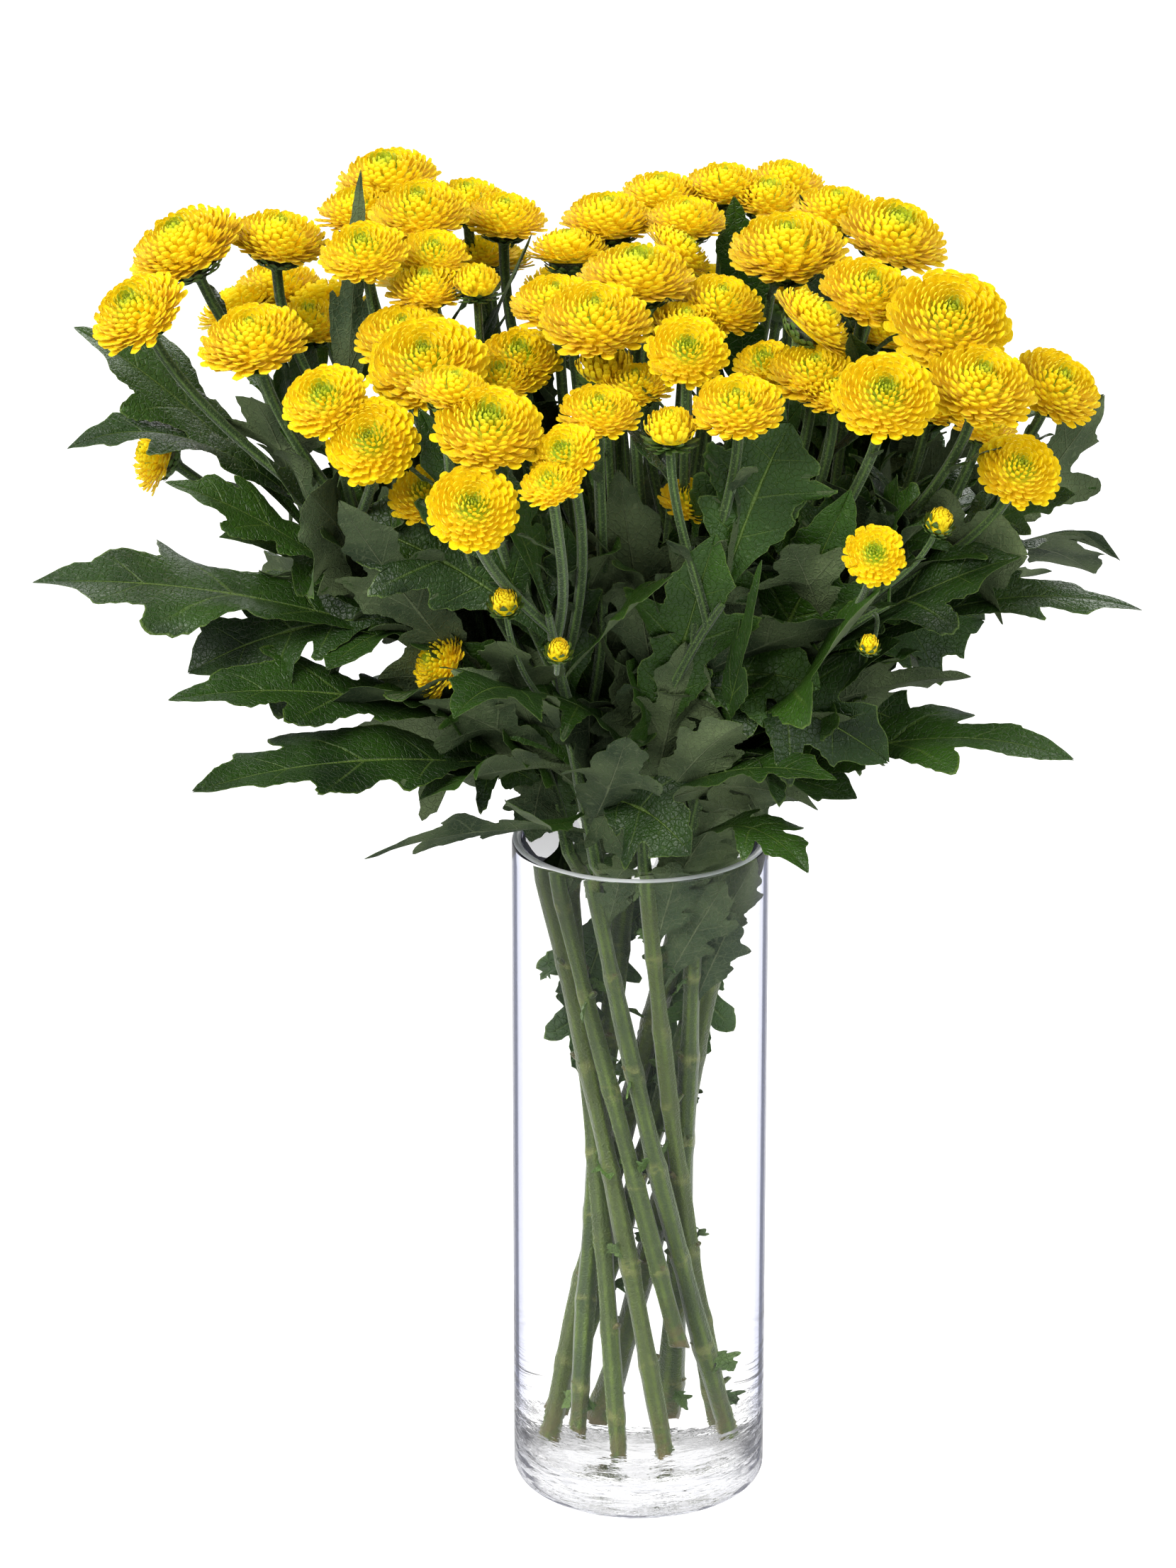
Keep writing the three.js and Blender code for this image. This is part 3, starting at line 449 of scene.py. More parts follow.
def petal_ring_tree():
    """Petals or bracts in a golden-angle spiral, each bent from its base over to its tip.

    The template blade runs along X from 0 to 1. Its Y is its half width, and its Z is the hollow
    of its upper face. Tips lie on an oval bowl or dome, between two angles from the head's axis.
    A knee that reaches further out than the tip bends the petal inwards over the heart.
    """
    sizes = [
        ("Count", "NodeSocketInt", 160), ("Seed", "NodeSocketInt", 1),
        ("Radius", "NodeSocketFloat", 0.02), ("Height", "NodeSocketFloat", 0.014),
        ("Level", "NodeSocketFloat", 0.002), ("Gather", "NodeSocketFloat", 0.62),
        ("First Angle", "NodeSocketFloat", 0.0), ("Last Angle", "NodeSocketFloat", 1.72),
        ("Inner Base", "NodeSocketFloat", 0.0), ("Outer Base", "NodeSocketFloat", 0.005),
        ("Inner Base Level", "NodeSocketFloat", 0.004), ("Outer Base Level", "NodeSocketFloat", 0.001),
        ("Inner Knee Reach", "NodeSocketFloat", 1.3), ("Outer Knee Reach", "NodeSocketFloat", 0.6),
        ("Inner Knee Rise", "NodeSocketFloat", 0.7), ("Outer Knee Rise", "NodeSocketFloat", 0.2),
        ("Lift", "NodeSocketFloat", 0.003), ("Inner Width", "NodeSocketFloat", 0.0007),
        ("Outer Width", "NodeSocketFloat", 0.0022), ("Looseness", "NodeSocketFloat", 0.06),
        ("Dimple", "NodeSocketFloat", 0.0),
        ("Blade", "NodeSocketObject", None), ("Finish", "NodeSocketMaterial", None),
    ]
    tree, given, result = new_tree(
        "petal_ring", "GeometryNodeTree", [("Geometry", "NodeSocketGeometry", None)] + sizes,
        [("Geometry", "NodeSocketGeometry")])

    def size(name):
        return Field(tree, given.outputs[name])

    def grown(first, last, share):
        return size(first) + (size(last) - size(first)) * share

    index = source(tree, "GeometryNodeInputIndex")
    share = (index + 0.5) / size("Count")
    geometry = add_node(tree, "GeometryNodePoints", Count=size("Count")).outputs[0]
    chance = add_node(tree, "FunctionNodeRandomValue", Seed=size("Seed"))
    low, high = (s for s in chance.inputs if s.type == "VALUE" and s.name in ("Min", "Max"))
    low.default_value = -1.0
    high.default_value = 1.0
    chance_value = Field(tree, next(s for s in chance.outputs if s.type == "VALUE"))
    for name, value in (("share", share), ("turn", index * GOLDEN_ANGLE), ("chance", chance_value)):
        geometry = store(tree, geometry, name, value)
    blade = add_node(tree, "GeometryNodeObjectInfo", Object=size("Blade"))
    placed = add_node(tree, "GeometryNodeInstanceOnPoints", Points=geometry,
                      Instance=blade.outputs["Geometry"])
    geometry = add_node(tree, "GeometryNodeRealizeInstances", Geometry=placed.outputs[0]).outputs[0]
    split = add_node(tree, "ShaderNodeSeparateXYZ", Vector=source(tree, "GeometryNodeInputPosition"))
    geometry = store(tree, geometry, "along", split.outputs[0])

    def stored(name):
        node = add_node(tree, "GeometryNodeInputNamedAttribute", Name=name)
        return Field(tree, node.outputs["Attribute"])

    along, across, hollow = stored("along"), Field(tree, split.outputs[1]), Field(tree, split.outputs[2])
    chance_here = stored("chance")
    ring = stored("share") ** size("Gather")
    angle = grown("First Angle", "Last Angle", ring)
    reach = 1.0 + chance_here * size("Looseness")
    tip_out = size("Radius") * angle.math("SINE") * reach
    tip_up = grown("Level", "Height", angle.math("COSINE") * reach)
    hollow_middle = (1.0 - ring * DIMPLE_ENDS).math("MAXIMUM", 0.0)
    tip_up = tip_up - size("Dimple") * hollow_middle * hollow_middle
    base_out = grown("Inner Base", "Outer Base", ring)
    base_up = grown("Inner Base Level", "Outer Base Level", ring)
    knee_reach = grown("Inner Knee Reach", "Outer Knee Reach", ring ** KNEE_GROWTH)
    knee_rise = grown("Inner Knee Rise", "Outer Knee Rise", ring)
    knee_out = base_out + (tip_out - base_out) * knee_reach
    knee_up = base_up + (tip_up - base_up) * knee_rise + size("Lift") * ring * ring
    rest = 1.0 - along
    out = rest * rest * base_out + 2.0 * (rest * along) * knee_out + along * along * tip_out
    up = rest * rest * base_up + 2.0 * (rest * along) * knee_up + along * along * tip_up
    step_out = rest * (knee_out - base_out) + along * (tip_out - knee_out)
    step_up = rest * (knee_up - base_up) + along * (tip_up - knee_up)
    step = (step_out * step_out + step_up * step_up + TINY).math("SQRT")
    width = grown("Inner Width", "Outer Width", ring ** WIDTH_GROWTH)
    rise = hollow * width
    out_here = out - rise * step_up / step
    up_here = up + rise * step_out / step
    aside = across * width
    turn = stored("turn") + chance_here * TURN_CHANCE
    sine, cosine = turn.math("SINE"), turn.math("COSINE")
    place = add_node(tree, "ShaderNodeCombineXYZ", X=out_here * cosine - aside * sine,
                     Y=out_here * sine + aside * cosine, Z=up_here)
    moved = add_node(tree, "GeometryNodeSetPosition", Geometry=geometry, Position=place.outputs[0])
    return finish_tree(tree, moved.outputs[0], size("Finish"), result)


RIDGE_SIDES = 3.0                   # sides of a stalk for each of its ridges
SCAR_FADE = (0.09, 0.03)            # how far from a node its scar fades, as a share of the step


def ridged_stalk_tree():
    """A ridged stalk along a curve, as thick as the curve's points say."""
    sizes = [
        ("Ridges", "NodeSocketInt", 6), ("Depth", "NodeSocketFloat", 0.07),
        ("Step", "NodeSocketFloat", 0.036), ("Shift", "NodeSocketFloat", 0.0),
        ("Finish", "NodeSocketMaterial", None),
    ]
    tree, given, result = new_tree(
        "ridged_stalk", "GeometryNodeTree", [("Geometry", "NodeSocketGeometry", None)] + sizes,
        [("Geometry", "NodeSocketGeometry")])

    def size(name):
        return Field(tree, given.outputs[name])

    corners = size("Ridges") * RIDGE_SIDES
    ring = add_node(tree, "GeometryNodeCurvePrimitiveCircle", Resolution=corners, Radius=1.0)
    index = source(tree, "GeometryNodeInputIndex")
    ridge = (index * size("Ridges") / corners * (2 * math.pi)).math("COSINE")
    scaled = tree.nodes.new("ShaderNodeVectorMath")
    scaled.operation = "SCALE"
    join_up(tree, source(tree, "GeometryNodeInputPosition"), scaled.inputs[0])
    join_up(tree, 1.0 + ridge * size("Depth"), scaled.inputs["Scale"])
    profile = add_node(tree, "GeometryNodeSetPosition", Position=scaled.outputs[0],
                       Geometry=store(tree, ring.outputs[0], "ridge", ridge))
    length = source(tree, "GeometryNodeSplineParameter", "Length")
    steps = (length + size("Shift")) / size("Step")
    off_node = (steps - steps.math("FLOOR") - 0.5).math("ABSOLUTE")
    curve = given.outputs["Geometry"]
    for name, value in (("length", length), ("scar", off_node.between(*SCAR_FADE))):
        curve = store(tree, curve, name, value)
    swept = add_node(tree, "GeometryNodeCurveToMesh", Curve=curve, Profile_Curve=profile.outputs[0],
                     Fill_Caps=True, Scale=source(tree, "GeometryNodeInputRadius"))
    realized = add_node(tree, "GeometryNodeRealizeInstances", Geometry=swept.outputs[0])
    return finish_tree(tree, realized.outputs[0], size("Finish"), result)


# ---- materials --------------------------------------------------------------------------------

def colour(value):
    """A colour picker's value for a shader: RGB with full alpha."""
    return (*value[:3], 1.0)


def blend(tree, factor, first, second):
    """A colour between two, by a factor."""
    node = tree.nodes.new("ShaderNodeMix")
    node.data_type = "RGBA"
    join_up(tree, factor, node.inputs["Factor"])
    slots = [s for s in node.inputs if s.type == "RGBA"]
    join_up(tree, first, slots[0])
    join_up(tree, second, slots[1])
    return next(s for s in node.outputs if s.type == "RGBA")


def reading(tree, name):
    """A number that the mesh holds at each point."""
    node = tree.nodes.new("ShaderNodeAttribute")
    node.attribute_name = name
    return Field(tree, node.outputs["Fac"])


def mottle_group():
    """Uneven living tissue: a soft blotch and a fine grain, both from 0 to 1."""
    group, given, result = new_tree(
        "living_mottle", "ShaderNodeTree",
        [("Blotch Scale", "NodeSocketFloat", 60.0), ("Grain Scale", "NodeSocketFloat", 900.0)],
        [("Blotch", "NodeSocketFloat"), ("Grain", "NodeSocketFloat")])
    where = source(group, "ShaderNodeTexCoord", "Object")
    for label, detail in (("Blotch", 3.0), ("Grain", 1.0)):
        noise = add_node(group, "ShaderNodeTexNoise", Vector=where, Detail=detail,
                         Scale=given.outputs[label + " Scale"])
        value = Field(group, noise.outputs[0]).between(0.25, 0.75)
        group.links.new(value.socket, result.inputs[label])
    return group


def new_material(name, **values):
    """A material with a Principled shader whose plain sockets are set by name."""
    material = bpy.data.materials.new(name)
    material.use_nodes = True
    shader = material.node_tree.nodes["Principled BSDF"]
    for label, value in values.items():
        shader.inputs[label.replace("_", " ")].default_value = value
    return material, material.node_tree, shader


def place_mottle(tree, group, blotch, grain):
    """The blotch and the grain of the mottle, at two scales."""
    node = tree.nodes.new("ShaderNodeGroup")
    node.node_tree = group
    node.inputs["Blotch Scale"].default_value = blotch
    node.inputs["Grain Scale"].default_value = grain
    return Field(tree, node.outputs["Blotch"]), Field(tree, node.outputs["Grain"])


def add_bump(tree, shader, height, distance):
    """Raises the surface by a pattern, up to a distance in metres."""
    bump = add_node(tree, "ShaderNodeBump", Height=height, Distance=distance)
    tree.links.new(bump.outputs[0], shader.inputs["Normal"])


def petal_material(look, mottle):
    """Lemon-gold petals: painted shade at their feet deep in the head, a painted highlight at their tips,
    green at the head's middle with painted shade between its young petals.
    """
    material, tree, shader = new_material(
        "petal", Roughness=0.55, Specular_IOR_Level=0.16, Sheen_Weight=0.08,
        Subsurface_Weight=0.2, Subsurface_Radius=(1.0, 0.7, 0.08), Subsurface_Scale=0.0015)
    along, share, chance = reading(tree, "along"), reading(tree, "share"), reading(tree, "chance")
    blotch, grain = place_mottle(tree, mottle, blotch=45.0, grain=1400.0)
    # painted shade: a petal's foot, deep in the head, takes the darker throat colour
    body = blend(tree, along.between(0.1, 0.55), colour(look.throat), colour(look.petal))
    # painted highlight: a petal is paler towards its tip
    tip = blend(tree, along.between(0.72, 1.0) * 0.6, body, colour(look.tip))
    warm = blend(tree, (blotch + chance * 0.4) * 0.22, tip, colour(look.petal_deep))
    # painted shade: the young petals of the heart are darker at their feet, between them
    young = blend(tree, along.between(0.3, 0.95), colour(look.heart_deep), colour(look.heart))
    heart = share.between(look.heart_share * 1.7, look.heart_share * 0.6)
    join_up(tree, blend(tree, heart, warm, young), shader.inputs["Base Color"])
    join_up(tree, 0.48 + grain * 0.16, shader.inputs["Roughness"])
    add_bump(tree, shader, grain, 0.00012)
    return material


def leaf_material(look, mottle):
    """Leaf blades: dark and half glossy above, matte grey-green below, with a net of veins."""
    material, tree, shader = new_material("leaf_blade", Roughness=0.5, Specular_IOR_Level=0.42)
    fan, rim, upper = reading(tree, "fan"), reading(tree, "rim"), reading(tree, "upper")
    tint = reading(tree, "tint")
    blotch, grain = place_mottle(tree, mottle, blotch=38.0, grain=900.0)
    # "fan" is whole on each side vein, and "rim" runs from 0 on the rib to 1 at the blade's edge
    off_vein = (fan - (fan + 0.5).math("FLOOR")).math("ABSOLUTE") * (1.0 + rim)
    side_vein = off_vein.between(0.03, 0.008) * rim.between(0.9, 0.4) * 0.5
    main_vein = rim.between(0.045, 0.012)
    vein = side_vein.math("MAXIMUM", main_vein)
    cells = add_node(tree, "ShaderNodeTexVoronoi", Scale=look.net_scale,
                     Vector=source(tree, "ShaderNodeTexCoord", "Object"))
    cells.feature = "DISTANCE_TO_EDGE"
    net = Field(tree, cells.outputs["Distance"]).between(0.09, 0.0)
    # a leaf's tint runs from 0 in an old one to 1 in a young one, and is over 1 in a torn scrap
    top = blend(tree, blotch * 0.45 + tint * 0.65 - 0.05, colour(look.top_dark), colour(look.top_light))
    top = blend(tree, vein * 0.65 + net * 0.1, top, colour(look.top_vein_and_edge_highlight))
    # painted highlight: a paler line along the blade's edge, on its upper side
    top = blend(tree, rim.between(0.95, 1.0) * 0.6, top, colour(look.top_vein_and_edge_highlight))
    below = blend(tree, blotch * 0.9 + tint * 0.5 - 0.25, colour(look.below_dark), colour(look.below_light))
    below = blend(tree, vein * 0.45 + net * 0.25, below, colour(look.below_vein))
    sides = blend(tree, upper.between(0.4, 0.6), below, top)
    torn = blend(tree, blotch, colour(look.scrap_dark), colour(look.scrap_light))
    join_up(tree, blend(tree, tint.between(1.0, 2.0), sides, torn), shader.inputs["Base Color"])
    join_up(tree, 0.72 - upper * 0.36 + grain * 0.14, shader.inputs["Roughness"])
    add_bump(tree, shader, grain * 0.3 + blotch - (vein + net * 0.4) * (upper * 2.0 - 1.0), 0.0006)
    return material


def stalk_material(look, mottle):
    """Stalks: grey-green with pale hairs in the air, and olive, scarred and bruised under water, darker in
    their grooves as painted shade.
    """
    material, tree, shader = new_material("stalk", Roughness=0.6, Sheen_Weight=0.3, Sheen_Roughness=0.4)
    ridge, length = reading(tree, "ridge"), reading(tree, "length")
    blotch, grain = place_mottle(tree, mottle, blotch=70.0, grain=1500.0)
    # painted shade: the stalk is darker in its grooves and lighter on its ribs
    skin = blend(tree, ridge.between(-0.6, 0.9), colour(look.stalk_dark), colour(look.stalk_light))
    skin = blend(tree, blotch * 0.35, skin, colour(look.stalk_dark))
    skin = blend(tree, grain.between(0.72, 1.0) * 0.5, skin, colour(look.hair))
    # painted shade: under water too, the stem is darker in its grooves
    wet = blend(tree, ridge.between(-0.8, 0.8) * 0.6 + grain * 0.3, colour(look.wet_dark),
                colour(look.wet_light))
    wet = blend(tree, blotch * 0.7, wet, colour(look.wet_dark))
    submerged = reading(tree, "submerged")
    patch, _ = place_mottle(tree, mottle, blotch=230.0, grain=2500.0)
    wet = blend(tree, reading(tree, "scar") * patch.between(0.35, 0.9) * 0.75, wet, colour(look.scar))
    wet = blend(tree, patch.between(0.7, 1.0) * 0.3, wet, colour(look.wet_dark))
    wet = blend(tree, reading(tree, "tone") * (0.25 + blotch * 0.3), wet, colour(look.olive))
    # brown at the cut end: faint over its last 30 mm, strong over its last 6 mm
    cut = length.between(0.03, 0.001) * 0.55 + length.between(0.006, 0.001) * 0.3
    wet = blend(tree, cut * patch.between(0.15, 0.75), wet, colour(look.bruise))
    join_up(tree, blend(tree, submerged, skin, wet), shader.inputs["Base Color"])
    join_up(tree, 0.66 - submerged * 0.2 + grain * 0.1, shader.inputs["Roughness"])
    add_bump(tree, shader, grain + (length * 900.0).math("SINE") * 0.1, 0.0002)
    return material


def bract_material(look, mottle):
    """Bracts of the calyx: green with a thin dark papery edge."""
    material, tree, shader = new_material("bract", Roughness=0.6)
    along = reading(tree, "along")
    blotch, grain = place_mottle(tree, mottle, blotch=90.0, grain=1200.0)
    body = blend(tree, along.between(0.1, 0.7), colour(look.stalk_light), colour(look.bract))
    body = blend(tree, blotch * 0.4, body, colour(look.stalk_dark))
    join_up(tree, blend(tree, along.between(0.82, 0.98), body, colour(look.bract_edge)),
            shader.inputs["Base Color"])
    add_bump(tree, shader, grain, 0.0001)
    return material


MUTED = (0.4, 0.42, 0.46, 1.0)      # weakens the white floor's mirror image in glass and water
PAINTED_PALE_EDGE = (0.5, 0.53, 0.78, 1.0)  # painted reflection: glass seen slantwise, towards the sides of the cylinder
PAINTED_DARK_EDGE = (0.01, 0.013, 0.04, 1.0)    # painted reflection: the thin dark line beside it
WHITE = (1.0, 1.0, 1.0, 1.0)


def mix_surface(tree, factor, first, second, output):
    """Sends a mix of two shaders to a material's or the world's output."""
    mix = tree.nodes.new("ShaderNodeMixShader")
    for slot, value in zip(mix.inputs, (factor, first.outputs[0], second.outputs[0])):
        join_up(tree, value, slot)
    tree.links.new(mix.outputs[0], tree.nodes[output].inputs["Surface"])


def glass_material(name, ior, painted_edges=False, roughness=0.0, tint=MUTED, clear=1.0):
    """Clear glass or water that lets the lamps' light straight through to what stands in it.

    Glass with painted edges has painted reflections towards its sides, a pale band and a thin dark line
    broken up in its thick foot, which also has painted dark streaks and a streaked, uneven bump. Less clear
    glass is partly opaque and pale: a painted highlight.
    """
    material, tree, shader = new_material(
        name, Base_Color=(0.9 + 0.1 * clear, 0.95 + 0.05 * clear, 1.0, 1.0), Roughness=roughness,
        Transmission_Weight=clear, IOR=ior, Specular_Tint=tint)
    passing = tree.nodes.new("ShaderNodeBsdfTransparent")
    mix_surface(tree, source(tree, "ShaderNodeLightPath", "Is Shadow Ray"), shader, passing,
                "Material Output")
    if painted_edges:
        where = add_node(tree, "ShaderNodeSeparateXYZ",
                         Vector=source(tree, "ShaderNodeTexCoord", "Object"))
        x, y, z = (Field(tree, part) for part in where.outputs)
        out = (x * x + y * y).math("SQRT")
        # streaks that run round the axis, on rings
        rings = add_node(tree, "ShaderNodeCombineXYZ", X=out, Y=y.math("ARCTAN2", x) * 0.01, Z=z)
        streaks = add_node(tree, "ShaderNodeTexNoise", Vector=rings.outputs[0], Scale=330.0, Detail=3.0)
        streak = Field(tree, streaks.outputs[0])
        foot = z.between(0.05, 0.012)
        # painted reflections: by the slant of the view, a pale band and a thin dark line towards the sides,
        # and dark streaks in the foot
        slant = source(tree, "ShaderNodeLayerWeight", "Facing")
        pale = blend(tree, slant.between(0.5, 0.74) * (1.0 - foot * 0.7), WHITE, PAINTED_PALE_EDGE)
        line = slant.between(0.71, 0.76) - slant.between(0.84, 0.9)
        broken = 1.0 - foot + foot * streak.between(0.5, 0.57)
        corner = foot * slant.between(0.4, 0.56) * streak.between(0.5, 0.57) * 0.9
        dark = (line * broken).math("MAXIMUM", corner)
        join_up(tree, blend(tree, dark, pale, PAINTED_DARK_EDGE), shader.inputs["Base Color"])
        add_bump(tree, shader, streak * foot * (out.between(0.012, 0.036) * 0.75 + 0.2), 0.0012)
    return material


# ---- mesh building ----------------------------------------------------------------------------

def mesh_places(mesh):
    """The places of a mesh's points, a row for each, in metres."""
    places = np.zeros(len(mesh.vertices) * 3)
    mesh.vertices.foreach_get("co", places)
    return places.reshape(-1, 3)


def hold_values(mesh, name, values):
    """Gives each point of a mesh a number under a name, for its material to read."""
    numbers = np.asarray(values, np.float32)
    mesh.attributes.new(name, "FLOAT", "POINT").data.foreach_set("value", numbers)


class Shell:
    """Collects the points, faces and point values of one mesh, in millimetres."""

    def __init__(self):
        self.points = []
        self.faces = []
        self.values = {}
        self.count = 0

    def add(self, points, faces, **values):
        """Adds a part: its faces count its own points, and each value is one number or a row."""
        self.points.append(np.asarray(points, float))
        self.faces += [tuple(int(i) + self.count for i in face) for face in faces]
        for name, numbers in values.items():
            full = np.broadcast_to(np.asarray(numbers, np.float32), (len(points),))
            self.values.setdefault(name, []).append(full)
        self.count += len(points)

    def make(self, name, material):
        """The collected parts as one object of one material."""
        mesh = bpy.data.meshes.new(name)
        mesh.from_pydata((np.concatenate(self.points) * MM).tolist(), [], self.faces)
        for label, parts in self.values.items():
            hold_values(mesh, label, np.concatenate(parts))
        mesh.materials.append(material)
        mesh.validate()
        return link_mesh(name, mesh)


def joined(name, pieces):
    """One object out of several plain meshes."""
    first = pieces[0]
    if len(pieces) > 1:
        with bpy.context.temp_override(active_object=first, object=first, selected_objects=pieces,
                                       selected_editable_objects=pieces):
            bpy.ops.object.join()
    first.name = name
    first.data.name = name
    return first


CREASE = math.radians(70)           # faces that meet at more than this keep a sharp rim


def finish_piece(piece, slot, *nodes):
    """Smooth shading with sharp rims, then what the piece rides on and its nodes. Its slot is not used."""
    piece.data.polygons.foreach_set("use_smooth", [True] * len(piece.data.polygons))
    piece.data.set_sharp_from_angle(angle=CREASE)
    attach(piece, "root")
    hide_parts(*nodes)


def turned_points(profile, sides):
    """Points and faces of a profile turned about Z. It starts and ends on the axis."""
    inner = profile[1:-1]
    points = [(0, 0, profile[0][1]), (0, 0, profile[-1][1])]
    for i in range(sides):
        angle = 2 * math.pi * i / sides
        points += [(r * math.cos(angle), r * math.sin(angle), z) for r, z in inner]
    n = len(inner)
    faces = []
    for i in range(sides):
        here, there = 2 + i * n, 2 + (i + 1) % sides * n
        faces.append((0, there, here))
        faces += [(here + k, there + k, there + k + 1, here + k + 1) for k in range(n - 1)]
        faces.append((1, here + n - 1, there + n - 1))
    return points, faces


def arc(centre, radius, first, last, steps):
    """Points of a round corner, from one angle to another in degrees."""
    angles = [math.radians(first + (last - first) * i / steps) for i in range(steps + 1)]
    return [(centre[0] + radius * math.cos(a), centre[1] + radius * math.sin(a)) for a in angles]


# A petal's blade, or a bract's: along, half width, hollow at its edge.
PETAL_ROWS = [
    (0.0, 0.5, 0.12), (0.42, 0.75, 0.14), (0.7, 1.0, 0.16), (0.86, 1.0, 0.2), (0.95, 0.8, 0.3),
    (0.988, 0.45, 0.4),
]
BRACT_ROWS = [
    (0.0, 0.7, 0.10), (0.35, 0.95, 0.12), (0.6, 1.0, 0.14), (0.8, 0.75, 0.14), (0.93, 0.4, 0.12),
]
PETAL_TIP_RISE, BRACT_TIP_RISE = 0.4, 0.1
BLADE_HALF_THICKNESS = 0.07         # as a share of the blade's half width
TIP_CURL = 4                        # the higher, the closer to its tip a blade begins to rise


def blade_template(name, rows, tip_rise):
    """A small hollow blade with a rounded tip, closed all round, for the petal ring tree."""
    points, faces = [], []
    for along, half, hollow in rows:
        lift = tip_rise * along ** TIP_CURL
        points += [
            (along, -half, hollow * half + lift), (along, 0, lift + BLADE_HALF_THICKNESS),
            (along, half, hollow * half + lift), (along, 0, lift - BLADE_HALF_THICKNESS),
        ]
    tip = len(points)
    points.append((1, 0, tip_rise + 0.1))
    last = 4 * (len(rows) - 1)
    for here in range(0, last, 4):
        for k in range(4):
            m = (k + 1) % 4
            faces.append((here + k, here + 4 + k, here + 4 + m, here + m))
    faces += [(last + k, tip, last + (k + 1) % 4) for k in range(4)]
    faces.append((0, 1, 2, 3))
    mesh = bpy.data.meshes.new(name)
    mesh.from_pydata(points, [], faces)
    return link_mesh(name, mesh)


# Half of a lobed leaf's outline: along the rib, half width, where its line leaves the rib, and its
# vein number, which is whole at each lobe's tip.
LEAF_OUTLINE = [
    (0.00, 0.06, 0.00, 0.30), (0.08, 0.05, 0.06, 0.40), (0.16, 0.06, 0.13, 0.50),
    (0.22, 0.11, 0.18, 0.60), (0.27, 0.22, 0.22, 0.68), (0.31, 0.36, 0.25, 0.76),
    (0.345, 0.48, 0.28, 0.84), (0.385, 0.56, 0.30, 0.92), (0.43, 0.62, 0.32, 1.00),
    (0.437, 0.54, 0.335, 1.08), (0.43, 0.42, 0.35, 1.18), (0.412, 0.30, 0.37, 1.32),
    (0.40, 0.22, 0.385, 1.44), (0.408, 0.19, 0.40, 1.50), (0.43, 0.25, 0.415, 1.56),
    (0.47, 0.40, 0.43, 1.66), (0.515, 0.57, 0.45, 1.76), (0.555, 0.73, 0.465, 1.84),
    (0.60, 0.86, 0.48, 1.91), (0.645, 0.95, 0.495, 1.96), (0.70, 1.00, 0.51, 2.00),
    (0.708, 0.90, 0.525, 2.07), (0.70, 0.77, 0.54, 2.14), (0.685, 0.62, 0.555, 2.24),
    (0.66, 0.46, 0.575, 2.34), (0.64, 0.34, 0.59, 2.44), (0.645, 0.28, 0.605, 2.50),
    (0.67, 0.29, 0.63, 2.57), (0.71, 0.35, 0.655, 2.66), (0.75, 0.43, 0.68, 2.76),
    (0.79, 0.50, 0.70, 2.87), (0.83, 0.52, 0.72, 3.00), (0.84, 0.43, 0.745, 3.10),
    (0.85, 0.34, 0.775, 3.22), (0.87, 0.28, 0.81, 3.34), (0.90, 0.27, 0.845, 3.46),
    (0.93, 0.22, 0.88, 3.60), (0.96, 0.14, 0.915, 3.76), (0.985, 0.06, 0.95, 3.90),
    (1.00, 0.01, 0.985, 4.00),
]
# A narrow leaf without lobes, as the small ones on the side stalks.
SLIM_OUTLINE = [
    (0.00, 0.20, 0.00, 0.2), (0.15, 0.36, 0.10, 0.6), (0.32, 0.72, 0.24, 1.0),
    (0.48, 0.95, 0.38, 1.5), (0.55, 0.92, 0.46, 1.8), (0.60, 1.00, 0.52, 2.0),
    (0.68, 0.86, 0.60, 2.4), (0.75, 0.80, 0.68, 2.8), (0.80, 0.78, 0.73, 3.0),
    (0.88, 0.50, 0.82, 3.4), (0.95, 0.26, 0.91, 3.7), (1.00, 0.04, 0.98, 4.0),
]
LOBE_MARKS = (0.3, 1.0, 2.0, 3.0, 4.0)      # vein numbers at the stalk, the lobes' tips and the tip
LOBE_ALONG = (0.0, 0.43, 0.70, 0.83, 1.0)
LOBE_WIDTH = (0.06, 0.62, 1.0, 0.52, 0.01)
WEB = (0.12, 0.5)                   # how far the notches of different leaves are filled in
ARCH_SHARES = (0.33, 0.7)           # where along a leaf its arch is held up
BLADE_THICKNESS = 0.5
BLADE_THINNING = 0.7                # how much thinner the blade is at its edge, as a share
BLADE_DROOP = 0.16                  # how far the edge hangs, as a share of the half width
BLADE_FOLD = 0.24                   # how steeply the halves rise from the rib
BLADE_WAVE, BLADE_CRINKLE = 0.19, 0.06
LOBE_SWAY = (0.10, 0.06)            # how much wider or narrower single lobes are
HALF_SHIFT = 0.02                   # how far one half is shifted along the rib
TWIST_MIDDLE = 0.35                 # where along the leaf its twist is nil
RIB_GROOVE = 0.35
RIB_SWELL = 0.5
TOOTH_STEP = 6.5
TOOTH_DEPTH = 0.055                 # as a share of the leaf's half width
TOOTH_UNEVEN = (0.6, 1.4)           # shares of the step between two cuts
TOOTH_CUTS = (0.3, 1.3)             # shares of the depth of a cut
TOOTH_LEAN = 0.4                    # how far the edge falls back behind a tooth's tip
TOOTHLESS, TOOTH_FADE = 0.16, 0.2   # there are no teeth where the blade is narrower than this
SLIMMEST = 0.01


